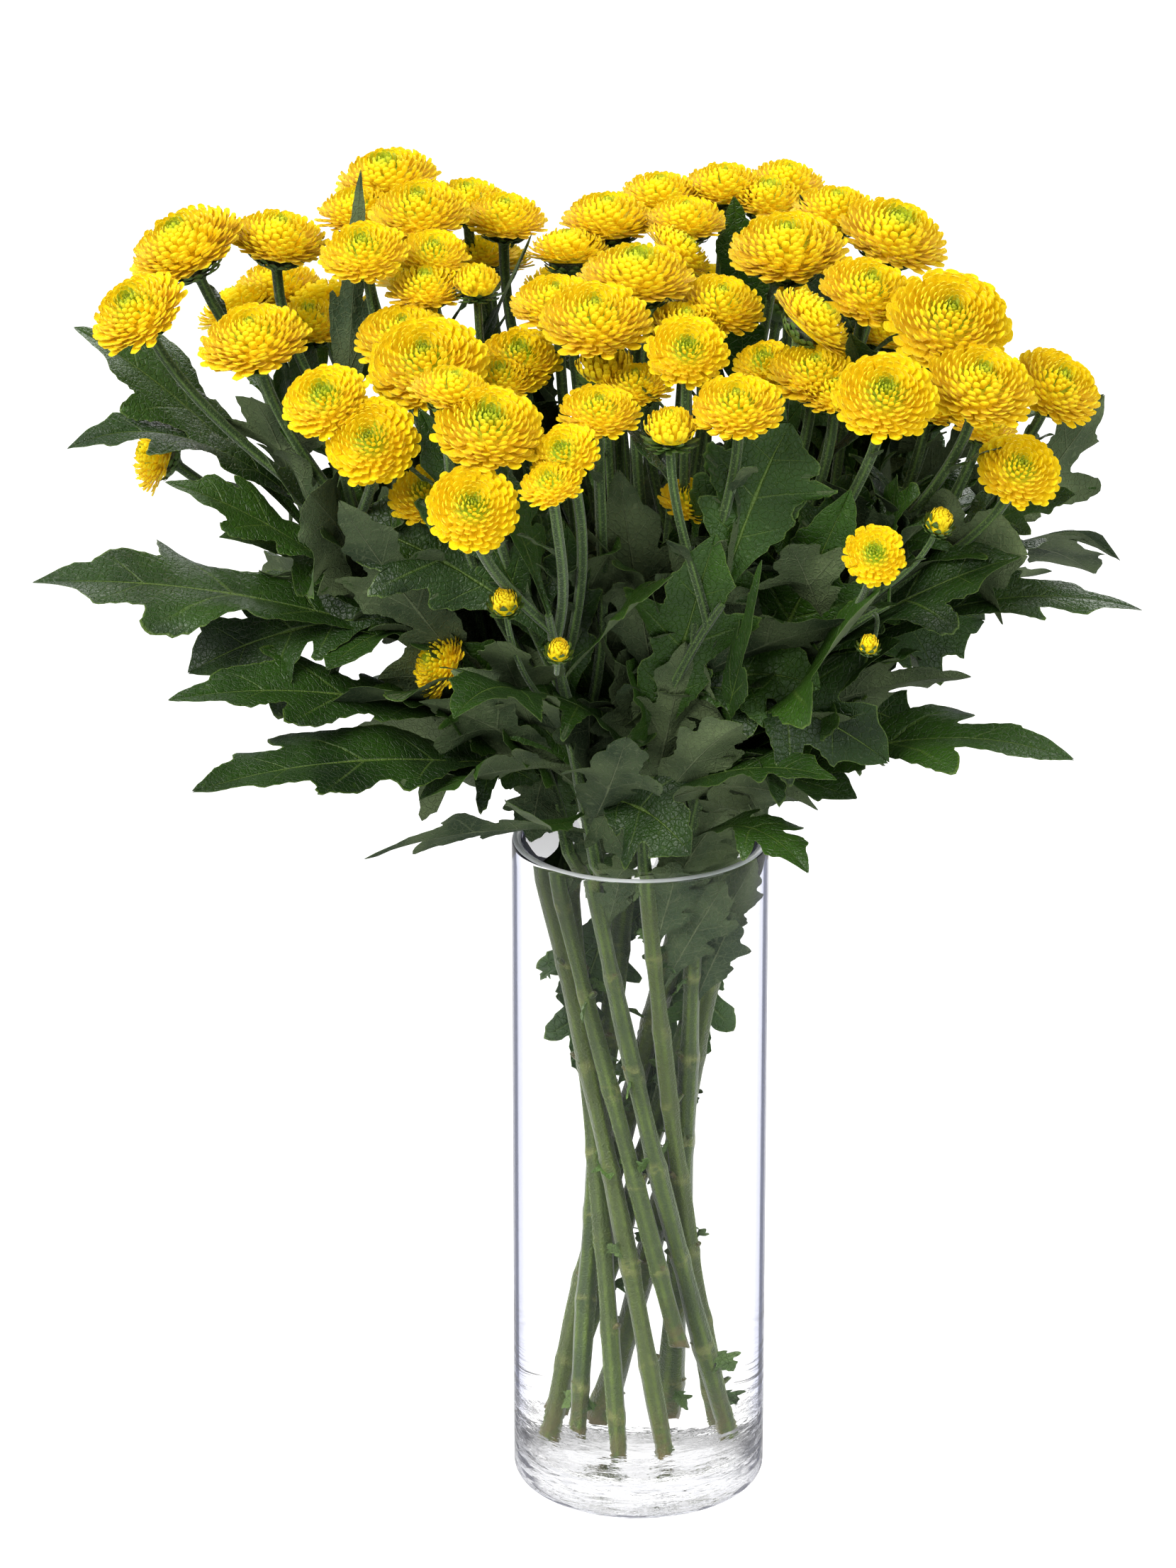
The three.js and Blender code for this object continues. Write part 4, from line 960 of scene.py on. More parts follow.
def toothed(outline, length, half_width, rows, rng):
    """Spaces an outline's points evenly and cuts uneven teeth that point forward into its lobes."""
    edge = np.array(outline)
    scale = (length, half_width)
    run = np.concatenate([[0], np.cumsum(np.hypot(*np.diff(edge[:, :2] * scale, axis=0).T))])
    at = np.linspace(0, run[-1], rows)
    even = np.stack([np.interp(at, run, column) for column in edge.T], axis=1)
    step = np.gradient(even[:, :2] * scale, axis=0)
    step /= np.linalg.norm(step, axis=1, keepdims=True)
    count = 2 * (int(run[-1] / TOOTH_STEP) + 2)
    cuts = np.cumsum([rng.uniform(*TOOTH_UNEVEN) * TOOTH_STEP for _ in range(count)])
    depths = [rng.uniform(*TOOTH_CUTS) * TOOTH_DEPTH * half_width for _ in range(count)]
    which = np.searchsorted(cuts, at)
    start = np.concatenate([[0], cuts])[which]
    rise = (at - start) / (cuts[which] - start)
    fade = np.clip((even[:, 1] - TOOTHLESS) / TOOTH_FADE, 0, 1)
    push = np.array(depths)[which] * (rise - TOOTH_LEAN) * fade
    even[:, 0] -= step[:, 1] * push / length
    even[:, 1] += step[:, 0] * push / half_width
    even[:, 1] = np.maximum(even[:, 1], SLIMMEST)
    return even


def webbed(outline, web):
    """An outline whose notches are filled in by a share, up to the line between its lobes' tips."""
    edge = np.array(outline)
    edge[:, 0] += (np.interp(edge[:, 3], LOBE_MARKS, LOBE_ALONG) - edge[:, 0]) * web
    edge[:, 1] += (np.interp(edge[:, 3], LOBE_MARKS, LOBE_WIDTH) - edge[:, 1]) * web
    return edge


def leaf_half(edge, sign, corners, half_width, face, phase, twist, spread):
    """The upper and the lower side of one half of a blade, each a grid of points.

    Its rows follow the toothed edge, and its columns run from the rib out to the edge.
    """
    edge_along, edge_wide, leaves_rib, vein = edge.T[..., None]
    sway = (1 + LOBE_SWAY[0] * np.sin(vein * 4 + sign * phase[0])
            + LOBE_SWAY[1] * np.sin(vein * 9 + sign * phase[1]))
    shift = HALF_SHIFT * math.sin(phase[5]) * sign * np.clip(edge_wide * 3, 0, 1)
    u = leaves_rib + (edge_along + shift - leaves_rib) * spread
    v = edge_wide * spread * np.where(edge_wide > 0.1, sway, 1)
    s = u[..., None]
    r = 1 - s
    middle = (r ** 3 * corners[0] + 3 * r * r * s * corners[1]
              + 3 * r * s * s * corners[2] + s ** 3 * corners[3])
    along = (r * r * (corners[1] - corners[0]) + 2 * r * s * (corners[2] - corners[1])
             + s * s * (corners[3] - corners[2]))
    along /= np.linalg.norm(along, axis=-1, keepdims=True)
    side = np.cross(along, np.array(face, float))
    side /= np.linalg.norm(side, axis=-1, keepdims=True)
    normal = np.cross(side, along)
    turn = ((u - TWIST_MIDDLE) * twist)[..., None]
    side, normal = (side * np.cos(turn) + normal * np.sin(turn),
                    normal * np.cos(turn) - side * np.sin(turn))
    wave = (BLADE_WAVE * np.sin(u * 11 + phase[2 + (sign > 0)]) * v
            + BLADE_CRINKLE * np.sin(u * 27 + phase[4]) * v * v)
    lift = half_width * (wave - BLADE_DROOP * v * v) + BLADE_FOLD * half_width * np.minimum(v, 0.5)
    half = BLADE_THICKNESS / 2 * (1 - BLADE_THINNING * spread)
    groove = np.where(spread == 0, RIB_GROOVE, 0.0)
    swell = np.where(spread == 0, RIB_SWELL, 0.0) * (1.1 - u)
    place = middle + side * (sign * half_width * v)[..., None]
    return [place + normal * height[..., None]
            for height in (lift + half - groove, lift - half - swell)]


def leaf_faces(rows, columns):
    """The faces of a blade of four grids, and the points of the grids that they use.

    The grids are the upper and lower side of one half, then those of the other. The halves share
    their points along the rib, and each half is closed along its edge.
    """
    step = columns + 1
    size = rows * step
    faces = []

    def add_face(corners, flip):
        faces.append(corners[::-1] if flip else corners)

    for part, flip in enumerate((True, False, False, True)):
        for i in range(rows - 1):
            for a in range(part * size + i * step, part * size + i * step + columns):
                add_face((a, a + 1, a + step + 1, a + step), flip)
    ring = [(0, j) for j in range(columns)] + [(i, columns) for i in range(rows)]
    ring += [(rows - 1, j) for j in range(columns - 1, -1, -1)]
    for part, flip in ((0, False), (2, True)):
        for (i, j), (k, m) in zip(ring, ring[1:]):
            a, b = part * size + i * step + j, part * size + k * step + m
            add_face((a, b, b + size, a + size), flip)
    twin = np.arange(4 * size)
    rib = np.arange(0, size, step)
    twin[2 * size + rib] = rib
    twin[3 * size + rib] = size + rib
    used, faces = np.unique(twin[np.array(faces)], return_inverse=True)
    return faces.reshape(-1, 4), used


def add_leaf(shell, root, tip, half_width, arch, face, rng, outline=None, columns=4, rows=84,
             tint=None, wind=0.25):
    """A leaf blade from its root to its tip, arched, drooping at its edges and gently waved."""
    if outline is None:
        outline = webbed(LEAF_OUTLINE, rng.uniform(*WEB))
    phase = [rng.uniform(0, 6.28) for _ in range(6)]
    twist = rng.uniform(-wind, wind)
    root, tip = Vector(root), Vector(tip)
    span = tip - root
    halves = [toothed(outline, span.length, half_width, rows, rng) for _ in range(2)]
    rise = Vector((0, 0, arch))
    controls = [root, *(root + span * share + rise for share in ARCH_SHARES), tip]
    corners = np.array([tuple(p) for p in controls])
    spread = np.linspace(0, 1, columns + 1)
    points, fan = [], []
    for sign, edge in zip((-1, 1), halves):
        points += leaf_half(edge, sign, corners, half_width, face, phase, twist, spread)
        fan += [np.repeat(edge[:, 3], columns + 1)] * 2
    faces, used = leaf_faces(rows, columns)
    rim = np.tile(spread, rows * 4)
    upper = np.tile(np.repeat((1.0, 0.0), rows * (columns + 1)), 2)
    tone = rng.random() if tint is None else tint
    shell.add(np.concatenate([grid.reshape(-1, 3) for grid in points])[used], faces,
              fan=np.concatenate(fan)[used], rim=rim[used], upper=upper[used], tint=tone)


def stalk_curve(name, points, radii):
    """A poly curve in metres with a radius at each point."""
    curve = bpy.data.curves.new(name, "CURVE")
    curve.dimensions = "3D"
    spline = curve.splines.new("POLY")
    spline.points.add(len(points) - 1)
    for spot, point, radius in zip(spline.points, points, radii):
        spot.co = (*(Vector(point) * MM), 1.0)
        spot.radius = radius * MM
    return link_mesh(name, curve)


DAMP = 4.0                          # how far above the water the wet colours begin
WET_FADE = 20.0                     # how far down they reach their full strength


def mark_submerged(piece):
    """Marks what lies under the water's surface inside the vase, for the wet colours."""
    places = mesh_places(piece.data) / MM
    inside = np.hypot(places[:, 0], places[:, 1]) < VASE_RADIUS
    wet = np.clip((WATER_TOP + DAMP - places[:, 2]) / WET_FADE, 0, 1) * inside
    hold_values(piece.data, "submerged", wet)


# ---- settings ---------------------------------------------------------------------------------

def shade(red, green, blue):
    """A screen colour, 0 to 255, as the linear values that shaders take."""
    return tuple(
        c / 255 / 12.92 if c <= 10 else ((c / 255 + 0.055) / 1.055) ** 2.4 for c in (red, green, blue))


def colour_setting(name, description, *screen):
    """A colour picker with a default given as a screen colour."""
    return FloatVectorProperty(
        name=name, description=description, subtype="COLOR", size=3, min=0, max=1,
        default=shade(*screen))


class VaseSettings(bpy.types.PropertyGroup):
    """The glass cylinder and the water in it."""

    wall: FloatProperty(
        name="Wall", description="Thickness of the glass wall", default=WALL * MM, min=0.002,
        max=0.008, subtype="DISTANCE", unit="LENGTH")
    floor: FloatProperty(
        name="Floor", description="Thickness of the clear floor", default=FLOOR * MM, min=0.006,
        max=0.02, subtype="DISTANCE", unit="LENGTH")
    foot_corner: FloatProperty(
        name="Foot corner", description="Radius of the round corner at the foot", default=0.006,
        min=0.001, max=0.01, subtype="DISTANCE", unit="LENGTH")
    glass_bend: FloatProperty(
        name="Glass IOR", description="Refractive index of the glass", default=1.5, min=1, max=2)
    water_bend: FloatProperty(
        name="Water IOR", description="Refractive index of the water", default=1.33, min=1, max=2)


class FlowerSettings(bpy.types.PropertyGroup):
    """The flower heads' petals and colours."""

    petals: FloatProperty(
        name="Petals per mm", description="Petals of an open head for each millimetre of its width",
        default=6.2, min=1, max=8)
    petal: colour_setting("Petal", "Body of a petal", 254, 222, 8)
    petal_deep: colour_setting("Deeper petal", "Warmer patches of a petal", 253, 214, 6)
    # painted shade: the throat colour darkens a petal's foot, deep in the head
    throat: colour_setting("Throat", "Foot of a petal, deep in the head", 250, 212, 8)
    # painted highlight: the tip colour makes a petal paler towards its tip
    tip: colour_setting("Tip", "Pale rim of a petal", 255, 230, 34)
    heart: colour_setting("Heart", "Young petals in the middle", 196, 206, 36)
    # painted shade: this colour darkens the young petals' feet, between them
    heart_deep: colour_setting("Heart's depth", "Between the young petals", 146, 178, 26)
    heart_share: FloatProperty(
        name="Heart share", description="Share of the petals that are still young and green",
        default=0.11, min=0, max=1, subtype="FACTOR")


class GreenerySettings(bpy.types.PropertyGroup):
    """Leaves, stalks and calyxes."""

    fill_leaves: IntProperty(
        name="Small leaves", description="Small leaves on each stem, besides the large ones",
        default=22, min=0, max=30)
    net_scale: FloatProperty(
        name="Vein net", description="Cells of the fine vein net in a metre", default=420.0,
        min=100, max=1000)
    top_dark: colour_setting("Leaf top, dark", "Upper side of an old leaf", 16, 38, 8)
    top_light: colour_setting("Leaf top, light", "Upper side of a young leaf", 52, 88, 18)
    # this colour serves the veins on the upper side and the painted highlight along a leaf's edge
    top_vein_and_edge_highlight: colour_setting("Leaf top, veins", "Veins on the upper side", 100, 126, 52)
    # the dark underside colour is laid on in random blotches and by each leaf's tint
    below_dark: colour_setting("Leaf underside, dark", "Lower side of a leaf in its hollows", 36, 56, 26)
    below_light: colour_setting("Leaf underside, light", "Lower side of a leaf", 90, 106, 66)
    below_vein: colour_setting("Leaf underside, veins", "Veins on the lower side", 116, 128, 90)
    # painted shade in the stalks' grooves; also the stalks' and the bracts' darker blotches
    stalk_dark: colour_setting("Stalk, dark", "Grooves of the stalks", 40, 64, 20)
    stalk_light: colour_setting("Stalk, light", "Ribs of the stalks", 82, 112, 42)
    hair: colour_setting("Hair", "Fine hairs on the stalks", 120, 144, 84)
    # painted shade in the grooves of the stems under water; also their darker blotches
    wet_dark: colour_setting("Stem in water, dark", "Grooves of the stems under water", 30, 50, 10)
    wet_light: colour_setting("Stem in water, light", "Ribs of the stems under water", 88, 110, 32)
    scar: colour_setting("Leaf scar", "Where a leaf was pulled off the stem", 124, 128, 70)
    olive: colour_setting("Olive", "The browner tone that some of the stems have under water", 66, 76, 14)
    bruise: colour_setting("Bruise", "Cut ends of the stems", 84, 72, 38)
    # the dark scrap colour is laid on in random blotches
    scrap_dark: colour_setting("Scrap, dark", "Torn scraps under water, in their folds", 40, 66, 24)
    scrap_light: colour_setting("Scrap, light", "Torn scraps under water", 84, 112, 46)
    bract: colour_setting("Bract", "Green scales under a head", 92, 124, 52)
    bract_edge: colour_setting("Bract edge", "Dry edges of the scales", 70, 62, 30)


class StageSettings(bpy.types.PropertyGroup):
    """Floor, lamps and camera."""

    width: FloatProperty(
        name="Floor width", description="Width of the plain floor", default=24.0, min=4, max=60,
        subtype="DISTANCE", unit="LENGTH")
    floor_glow: FloatProperty(
        name="Floor glow", description="Light that the floor gives off itself", default=1.0, min=0,
        max=2)
    key: FloatProperty(
        name="Key lamp", description="Power of the window-like lamp", default=88.0, min=0, max=1000,
        subtype="POWER")
    fill: FloatProperty(
        name="Fill lamp", description="Power of the lamp on the other side", default=25.0, min=0,
        max=1000, subtype="POWER")
    back: FloatProperty(
        name="Back lamp", description="Power of the lamp behind", default=40.0, min=0, max=1000,
        subtype="POWER")
    sky: FloatProperty(
        name="Room light", description="Strength of the light from above", default=0.64, min=0,
        max=5)


# ---- the pieces -------------------------------------------------------------------------------

FOOT_SWELL = 5.0                    # how much thicker the wall is at its foot
FOOT_SWELL_TOP = 62.0               # where it starts to thicken
FOOT_SWELL_GROWTH = 2.2
FLOOR_CORNER = 5.0                  # radius of the corner between the wall and the floor
RIPPLE = 0.3                        # how uneven the inside is in the foot
RIPPLE_TOP = FOOT_SWELL_TOP + 12    # where it is even again
WATER_EDGE = 12.0                   # the top part of the water, where its edge is modelled
PAINTED_BRIM_RING = 0.9                          # how far down the brim's pale ring reaches: a painted highlight of rough, partly opaque glass
WALL_STEPS, FOOT_STEPS, CORNER_STEPS = 10, 14, 8
TURNED_SIDES = 144


def inside_line(radius, floor):
    """The inside, from under the water's surface down the thickening wall and over the floor."""
    points = [(radius, z) for z in np.linspace(WATER_TOP - WATER_EDGE, RIPPLE_TOP, WALL_STEPS)]
    for z in np.linspace(FOOT_SWELL_TOP, floor + FLOOR_CORNER, FOOT_STEPS):
        share = (FOOT_SWELL_TOP - z) / (FOOT_SWELL_TOP - floor)
        points.append((radius - FOOT_SWELL * share ** FOOT_SWELL_GROWTH, z))
    centre = (points[-1][0] - FLOOR_CORNER, floor + FLOOR_CORNER)
    points += arc(centre, FLOOR_CORNER, 0, -90, CORNER_STEPS)[1:]
    return points + [(radius - 22, floor - 0.8), (0, floor - 1.2)]


def ripple(points, radius):
    """Blown glass is a little uneven inside, towards its thick foot."""
    uneven = []
    for x, y, z in points:
        out, turn = math.hypot(x, y), math.atan2(y, x)
        if 8 < out < radius + 0.1 and z < RIPPLE_TOP:
            wave = math.sin(3 * turn + z / 7) + 0.6 * math.sin(7 * turn - z / 4 + 2)
            share = (RIPPLE_TOP - z) / FOOT_SWELL_TOP
            x, y = (c * (1 + RIPPLE * wave * share / out) for c in (x, y))
        if z < 1 and out < radius - 8:
            z += 0.2 + 0.2 * math.sin(5 * turn + out / 3)
        uneven.append((x, y, z))
    return uneven


def build_vase(settings):
    """The cylinder: a thick clear floor, a round foot, plain walls and a fire-polished brim."""
    wall, floor, corner = settings.wall / MM, settings.floor / MM, settings.foot_corner / MM
    radius, inner, lip = VASE_RADIUS, VASE_RADIUS - wall, wall / 2
    profile = [(0, 0.5), (radius - 14, 0.45), (radius - 10, 0.0)]
    profile += arc((radius - corner, corner), corner, -90, 0, 8)
    profile += [(radius, z) for z in np.linspace(24, VASE_HEIGHT - lip - 6, WALL_STEPS)]
    profile += arc((radius - lip, VASE_HEIGHT - lip), lip, 0, 180, 10)
    profile += [(inner, WATER_TOP + 2.2), (inner, WATER_TOP + 0.6), (inner, WATER_TOP - 0.4)]
    profile += inside_line(inner, floor)
    points, faces = turned_points(profile, TURNED_SIDES)
    shell = Shell()
    shell.add(ripple(points, inner), faces)
    piece = shell.make("glass_vase", glass_material("vase_glass", settings.glass_bend, painted_edges=True))
    wet = glass_material("vase_glass_in_water", settings.glass_bend / settings.water_bend)
    piece.data.materials.append(wet)
    # painted highlight: the brim's glass is rough and only partly clear, so that it shows as a pale ring
    piece.data.materials.append(
        glass_material("vase_brim", settings.glass_bend, roughness=0.3, tint=WHITE, clear=0.45))
    for face in piece.data.polygons:
        spot = face.center / MM
        inside = math.hypot(spot.x, spot.y) < inner + 0.4
        face.material_index = int(inside and floor - 2 < spot.z < WATER_TOP + 0.2)
        if spot.z > VASE_HEIGHT - PAINTED_BRIM_RING:
            face.material_index = 2
    finish_piece(piece, "glass", "vase")


def build_water(settings):
    """The water, which climbs a little up the glass at its edge."""
    inner = VASE_RADIUS - settings.wall / MM - GAP
    floor = settings.floor / MM + GAP
    profile = inside_line(inner, floor)[::-1]
    profile += [(inner, WATER_TOP + 0.9), (inner - 0.5, WATER_TOP + 0.5), (inner - 1.4, WATER_TOP + 0.1)]
    profile += [(inner - 3.5, WATER_TOP - 0.1), (inner * 0.6, WATER_TOP - 0.2), (0, WATER_TOP - 0.2)]
    points, faces = turned_points(profile, TURNED_SIDES)
    shell = Shell()
    shell.add(ripple(points, inner), faces)
    piece = shell.make("vase_water", glass_material("water_against_glass", 1.0))
    piece.data.materials.append(glass_material("water_surface", settings.water_bend))
    for face in piece.data.polygons:
        face.material_index = int(face.center.z > (WATER_TOP - 1.0) * MM and face.normal.z > 0.2)
    finish_piece(piece, "water", "water")


STRAIGHT_STEP = 3.0                 # between the points of a stem's straight part
BEND_STEPS = 18                     # points of its bent part, and of a side stalk
CROOK = 0.5                         # how far a stem bends aside at its nodes
NODE_SWELL = 0.13                   # how much thicker it is at a node
NODE_LENGTH = 3.4
THICK_AND_THIN = 0.07               # how unevenly thick it is between them
FORK_STEPS = 7                      # points over which its end thins to half, among its stalks
END_SLOPE = (0.2, 0.85)             # how steep the slant of its cut may be
END_BAND = 11.0                     # how far up a stem its slanted cut is felt
END_RAGGED = 0.9                    # how far the fibres of its cut end differ


def stem_line(stem):
    """The points of a stem and its radius at each, swollen and crooked where leaves grew."""
    heights = np.arange(stem.start.z, MOUTH_HEIGHT, STRAIGHT_STEP)
    points = [stem.at(height)[0] for height in heights]
    points += [bezier(stem.bend, share)[0] for share in np.linspace(0, 1, BEND_STEPS)]
    aside = stem.straight.cross(Vector((1, 0, 0))).normalized()
    run, bent, radii = 0.0, [], []
    for i, point in enumerate(points):
        run += (point - points[i - 1]).length if i else 0.0
        taper = STEM_TAPER * i / (len(points) - 1)
        off_node = (run + stem.node_shift) % stem.node_step - stem.node_step / 2
        swell = NODE_SWELL * math.exp(-(off_node / NODE_LENGTH) ** 2)
        thin = THICK_AND_THIN * math.sin(run / 11 + ord(stem.letter))
        forked = 1 - 0.5 * max(0.0, 1 - (len(points) - 1 - i) / FORK_STEPS)
        radii.append((STEM_RADIUS - taper) * (1 + swell + thin) * forked)
        crook = math.sin((run + stem.node_shift) / stem.node_step * math.pi)
        bent.append(point + aside * (CROOK * crook))
    return bent, radii


def node_places(stem):
    """The points of a stem where leaves were pulled off it under water."""
    places = []
    run = stem.node_step / 2 - stem.node_shift
    while stem.start.z + run * stem.straight.z < WATER_TOP:
        if run > 0:
            places.append(stem.start + stem.straight * run)
        run += stem.node_step
    return places


def stalk_line(head):
    """The points of a head's stalk and its radius at each, flaring into the calyx."""
    length = sum(
        (bezier(head.path, (i + 1) / 12)[0] - bezier(head.path, i / 12)[0]).length for i in range(12))
    flare = 1 - CALYX_LENGTH * head.diameter / length
    slim = min(STALK_RADIUS, SLIM_STALK * head.diameter)
    wide = CALYX_RADIUS * head.diameter
    shares = list(np.linspace(0, flare, BEND_STEPS)) + [flare + (1 - flare) * k / 4 for k in (1, 2, 3, 4)]
    points, radii = [], []
    for share in shares:
        points.append(bezier(head.path, share)[0])
        opened = max(0.0, (share - flare) / (1 - flare))
        radii.append(slim + (wide - slim) * opened ** 1.5)
    return points, radii


# How each kind of head is held by its green scales. Sizes are shares of the head's diameter.
CALYX_SIZES = (
    "radius", "height", "level", "inner_base_level", "outer_base_level", "inner_width", "outer_width")
CALYX_FORMS = {
    "open": {
        "count": 32, "radius": 0.31, "height": 0.14, "level": 0.0, "first_angle": 84,
        "last_angle": 128, "inner_base_level": -0.10, "outer_base_level": -0.17,
        "inner_width": 0.055, "outer_width": 0.04,
    },
    "button": {
        "count": 36, "radius": 0.54, "height": 0.34, "level": 0.02, "first_angle": 60,
        "last_angle": 118, "inner_base_level": -0.06, "outer_base_level": -0.2,
        "inner_width": 0.085, "outer_width": 0.06,
    },
    "bud": {
        "count": 34, "radius": 0.52, "height": 0.6, "level": 0.14, "first_angle": 34,
        "last_angle": 112, "inner_base_level": -0.02, "outer_base_level": -0.16,
        "inner_width": 0.13, "outer_width": 0.1,
    },
}


def build_calyx(head, trees, finish):
    """The rows of green scales that hold a head from below."""
    size = head.diameter * MM
    form = CALYX_FORMS[head.form]
    piece = bake_tree(
        link_mesh("calyx", bpy.data.meshes.new("calyx")), trees["ring"],
        seed=int(head.diameter * 10), gather=0.62, inner_base=size * 0.12, outer_base=size * 0.1,
        inner_knee_reach=0.8, outer_knee_reach=1.0, inner_knee_rise=0.35, outer_knee_rise=0.35,
        lift=0.0, looseness=0.08, dimple=0.0,
        blade=trees["bract"], finish=finish, count=form["count"],
        first_angle=math.radians(form["first_angle"]), last_angle=math.radians(form["last_angle"]),
        **{name: size * form[name] for name in CALYX_SIZES})
    piece.data.transform(head.place())
    return piece


def stub_lines(stem):
    """The short torn stubs that pulled leaves left at the nodes under water."""
    rng = random.Random(SEED * 7 + ord(stem.letter))
    for place in node_places(stem):
        bearing = rng.uniform(0, 2 * math.pi)
        way = Vector((math.cos(bearing), math.sin(bearing), 0.9)).normalized()
        reach = STEM_RADIUS + rng.uniform(0.8, 3.0)
        yield [place + way * (reach * k / 3) for k in range(4)], [1.7, 1.6, 1.3, 0.8]


def slant_cut(piece, stem):
    """Cuts the lower end of a stem at a slant, and marks how brown the stem is."""
    rng = random.Random("cut " + stem.letter)
    line, _ = stem_line(stem)
    end = np.array(line[0]) * MM
    along = np.array(line[1] - line[0]) / (line[1] - line[0]).length
    aside = np.cross(along, (math.cos(rng.uniform(0, 6)), math.sin(rng.uniform(0, 6)), 0))
    aside /= np.linalg.norm(aside)
    mesh = piece.data
    spots = mesh_places(mesh)
    off = spots - end
    run = off @ along
    near = run < END_BAND * MM
    slope = rng.uniform(*END_SLOPE)
    ragged = np.array([rng.uniform(0, END_RAGGED) for _ in range(int(near.sum()))]) * MM
    lift = (off[near] @ aside + STEM_RADIUS * MM) * slope + ragged
    spots[near] += np.outer(lift * (1 - np.clip(run[near], 0, None) / (END_BAND * MM)), along)
    mesh.vertices.foreach_set("co", spots.ravel())
    hold_values(mesh, "tone", np.full(len(spots), rng.uniform(-0.1, 1.0)))
    mesh.update()


def build_stems(settings, trees, mottle):
    """A piece for each spray: its stem, the stalks of its heads, and their calyxes."""
    wood = stalk_material(settings, mottle)
    green = bract_material(settings, mottle)
    for letter, stem in BOUQUET.items():
        pieces = []
        for name, ridges, line in [("stem", 6, stem_line(stem))] + [
                ("stalk", 5, stalk_line(head)) for head in stem.heads] + [
                ("stub", 3, line) for line in stub_lines(stem)]:
            curve = stalk_curve(name, *line)
            pieces.append(bake_tree(
                curve, trees["stalk"], ridges=ridges, depth=0.07, finish=wood,
                step=stem.node_step * MM, shift=stem.node_shift * MM))
        pieces += [build_calyx(head, trees, green) for head in stem.heads]
        slant_cut(pieces[0], stem)
        piece = joined("stems_" + letter, pieces)
        mark_submerged(piece)
        finish_piece(piece, "leaf", "leafy_stem_" + letter)


# Leaves pressed into the mouth of the vase: stem, height of the root, tip, half width, arch, face.
MOUTH_LEAVES = [
    ("c", 214, (30, -26, 262), 15, 4, REAR), ("d", 226, (40, -12, 266), 15, 3, REAR),
    ("c", 232, (14, -34, 272), 14, 3, REAR), ("d", 206, (33, -22, 248), 13, 2, REAR),
    ("e", 216, (38, 6, 262), 15, 4, LEFT), ("b", 238, (-4, -32, 276), 11, 3, DOWN),
    ("c", 240, (33, -30, 292), 16, 6, REAR), ("d", 246, (46, -18, 300), 17, 6, REAR),
    ("b", 306, (-4, -44, 275), 13, 3, REAR), ("a", 300, (-42, -24, 276), 14, 4, REAR),
    ("h", 267, (-22, 30, 320), 18, 4, FRONT), ("i", 265, (-42, 18, 314), 18, 4, FRONT),
    ("g", 267, (8, 38, 324), 18, 4, FRONT), ("f", 268, (34, 30, 320), 17, 4, FRONT),
    ("j", 262, (-40, 14, 302), 16, 4, FRONT), ("b", 268, (-18, -30, 318), 13, 4, REAR),
    ("h", 264, (-26, 34, 300), 18, 4, FRONT), ("g", 262, (32, 30, 302), 17, 4, FRONT),
    ("i", 262, (-8, 30, 306), 15, 3, FRONT), ("g", 258, (-6, 30, 222), 12, 4, FRONT),
    ("f", 252, (6, 22, 196), 12, 4, FRONT), ("h", 250, (-16, 20, 190), 12, 4, FRONT),
    ("e", 236, (12, 14, 172), 10, 4, FRONT), ("i", 232, (-12, 14, 160), 10, 4, FRONT),
    ("g", 214, (2, 16, 150), 9, 4, FRONT), ("a", 248, (-12, -13, 283), 14, 3, REAR),
    ("j", 260, (-36, -4, 300), 13, 4, FRONT),
]
FILL_LENGTH = (56, 96)
FILL_SLIM = (0.28, 0.4)             # half width as a share of the length
FILL_ARCH = (2, 16)
FILL_LEAN = (-0.5, 1.5)             # how far the upper side faces outwards
FILL_HEIGHTS = (284, 462)           # where tips may be; the lower limit rises towards the sides
FILL_TRIES = 8                      # for each leaf
FILL_TWIST = 1.3                    # how far a blade may turn about its own length
# Kinds of fill leaf: heights of the root, spread of the bearing, rise for its reach, share of length.
FILL_KINDS = (
    ((280, 350), 2.6, (0.9, 2.4), 1.0), ((284, 386), 1.6, (-0.4, 0.8), 1.0),
    ((352, 402), 2.2, (0.7, 2.6), 0.85),
)
FILL_FRONT = -74.0                  # no fill leaf comes further forward


def add_fill_leaves(shell, stem, count, rng):
    """Small leaves all round a stem, from the brim up to its crown."""
    outwards = math.atan2(stem.crown.y, stem.crown.x)
    placed = 0
    for _ in range(count * FILL_TRIES):
        roots, spread, rises, shorter = FILL_KINDS[placed % len(FILL_KINDS)]
        root = stem.at(rng.uniform(*roots))[0]
        bearing = outwards + rng.uniform(-spread, spread)
        reach = rng.uniform(*FILL_LENGTH) * shorter
        way = Vector((math.cos(bearing), math.sin(bearing), rng.uniform(*rises))).normalized()
        tip = root + way * reach
        low = FILL_HEIGHTS[0] + 0.5 * max(abs(tip.x) - 60, 0)
        if tip.y < FILL_FRONT or not low < tip.z < FILL_HEIGHTS[1] or not inside_box(tip):
            continue
        aside = way.cross(Vector((0, 0, 1))).normalized() * rng.uniform(-FILL_TWIST, FILL_TWIST)
        lean = rng.uniform(*FILL_LEAN)
        face = (aside.x + lean * way.x, aside.y + lean * way.y, 1)
        add_leaf(shell, root, tip, reach * rng.uniform(*FILL_SLIM), rng.uniform(*FILL_ARCH), face, rng,
                 columns=3, rows=60, wind=1.0)
        placed += 1
        if placed == count:
            return


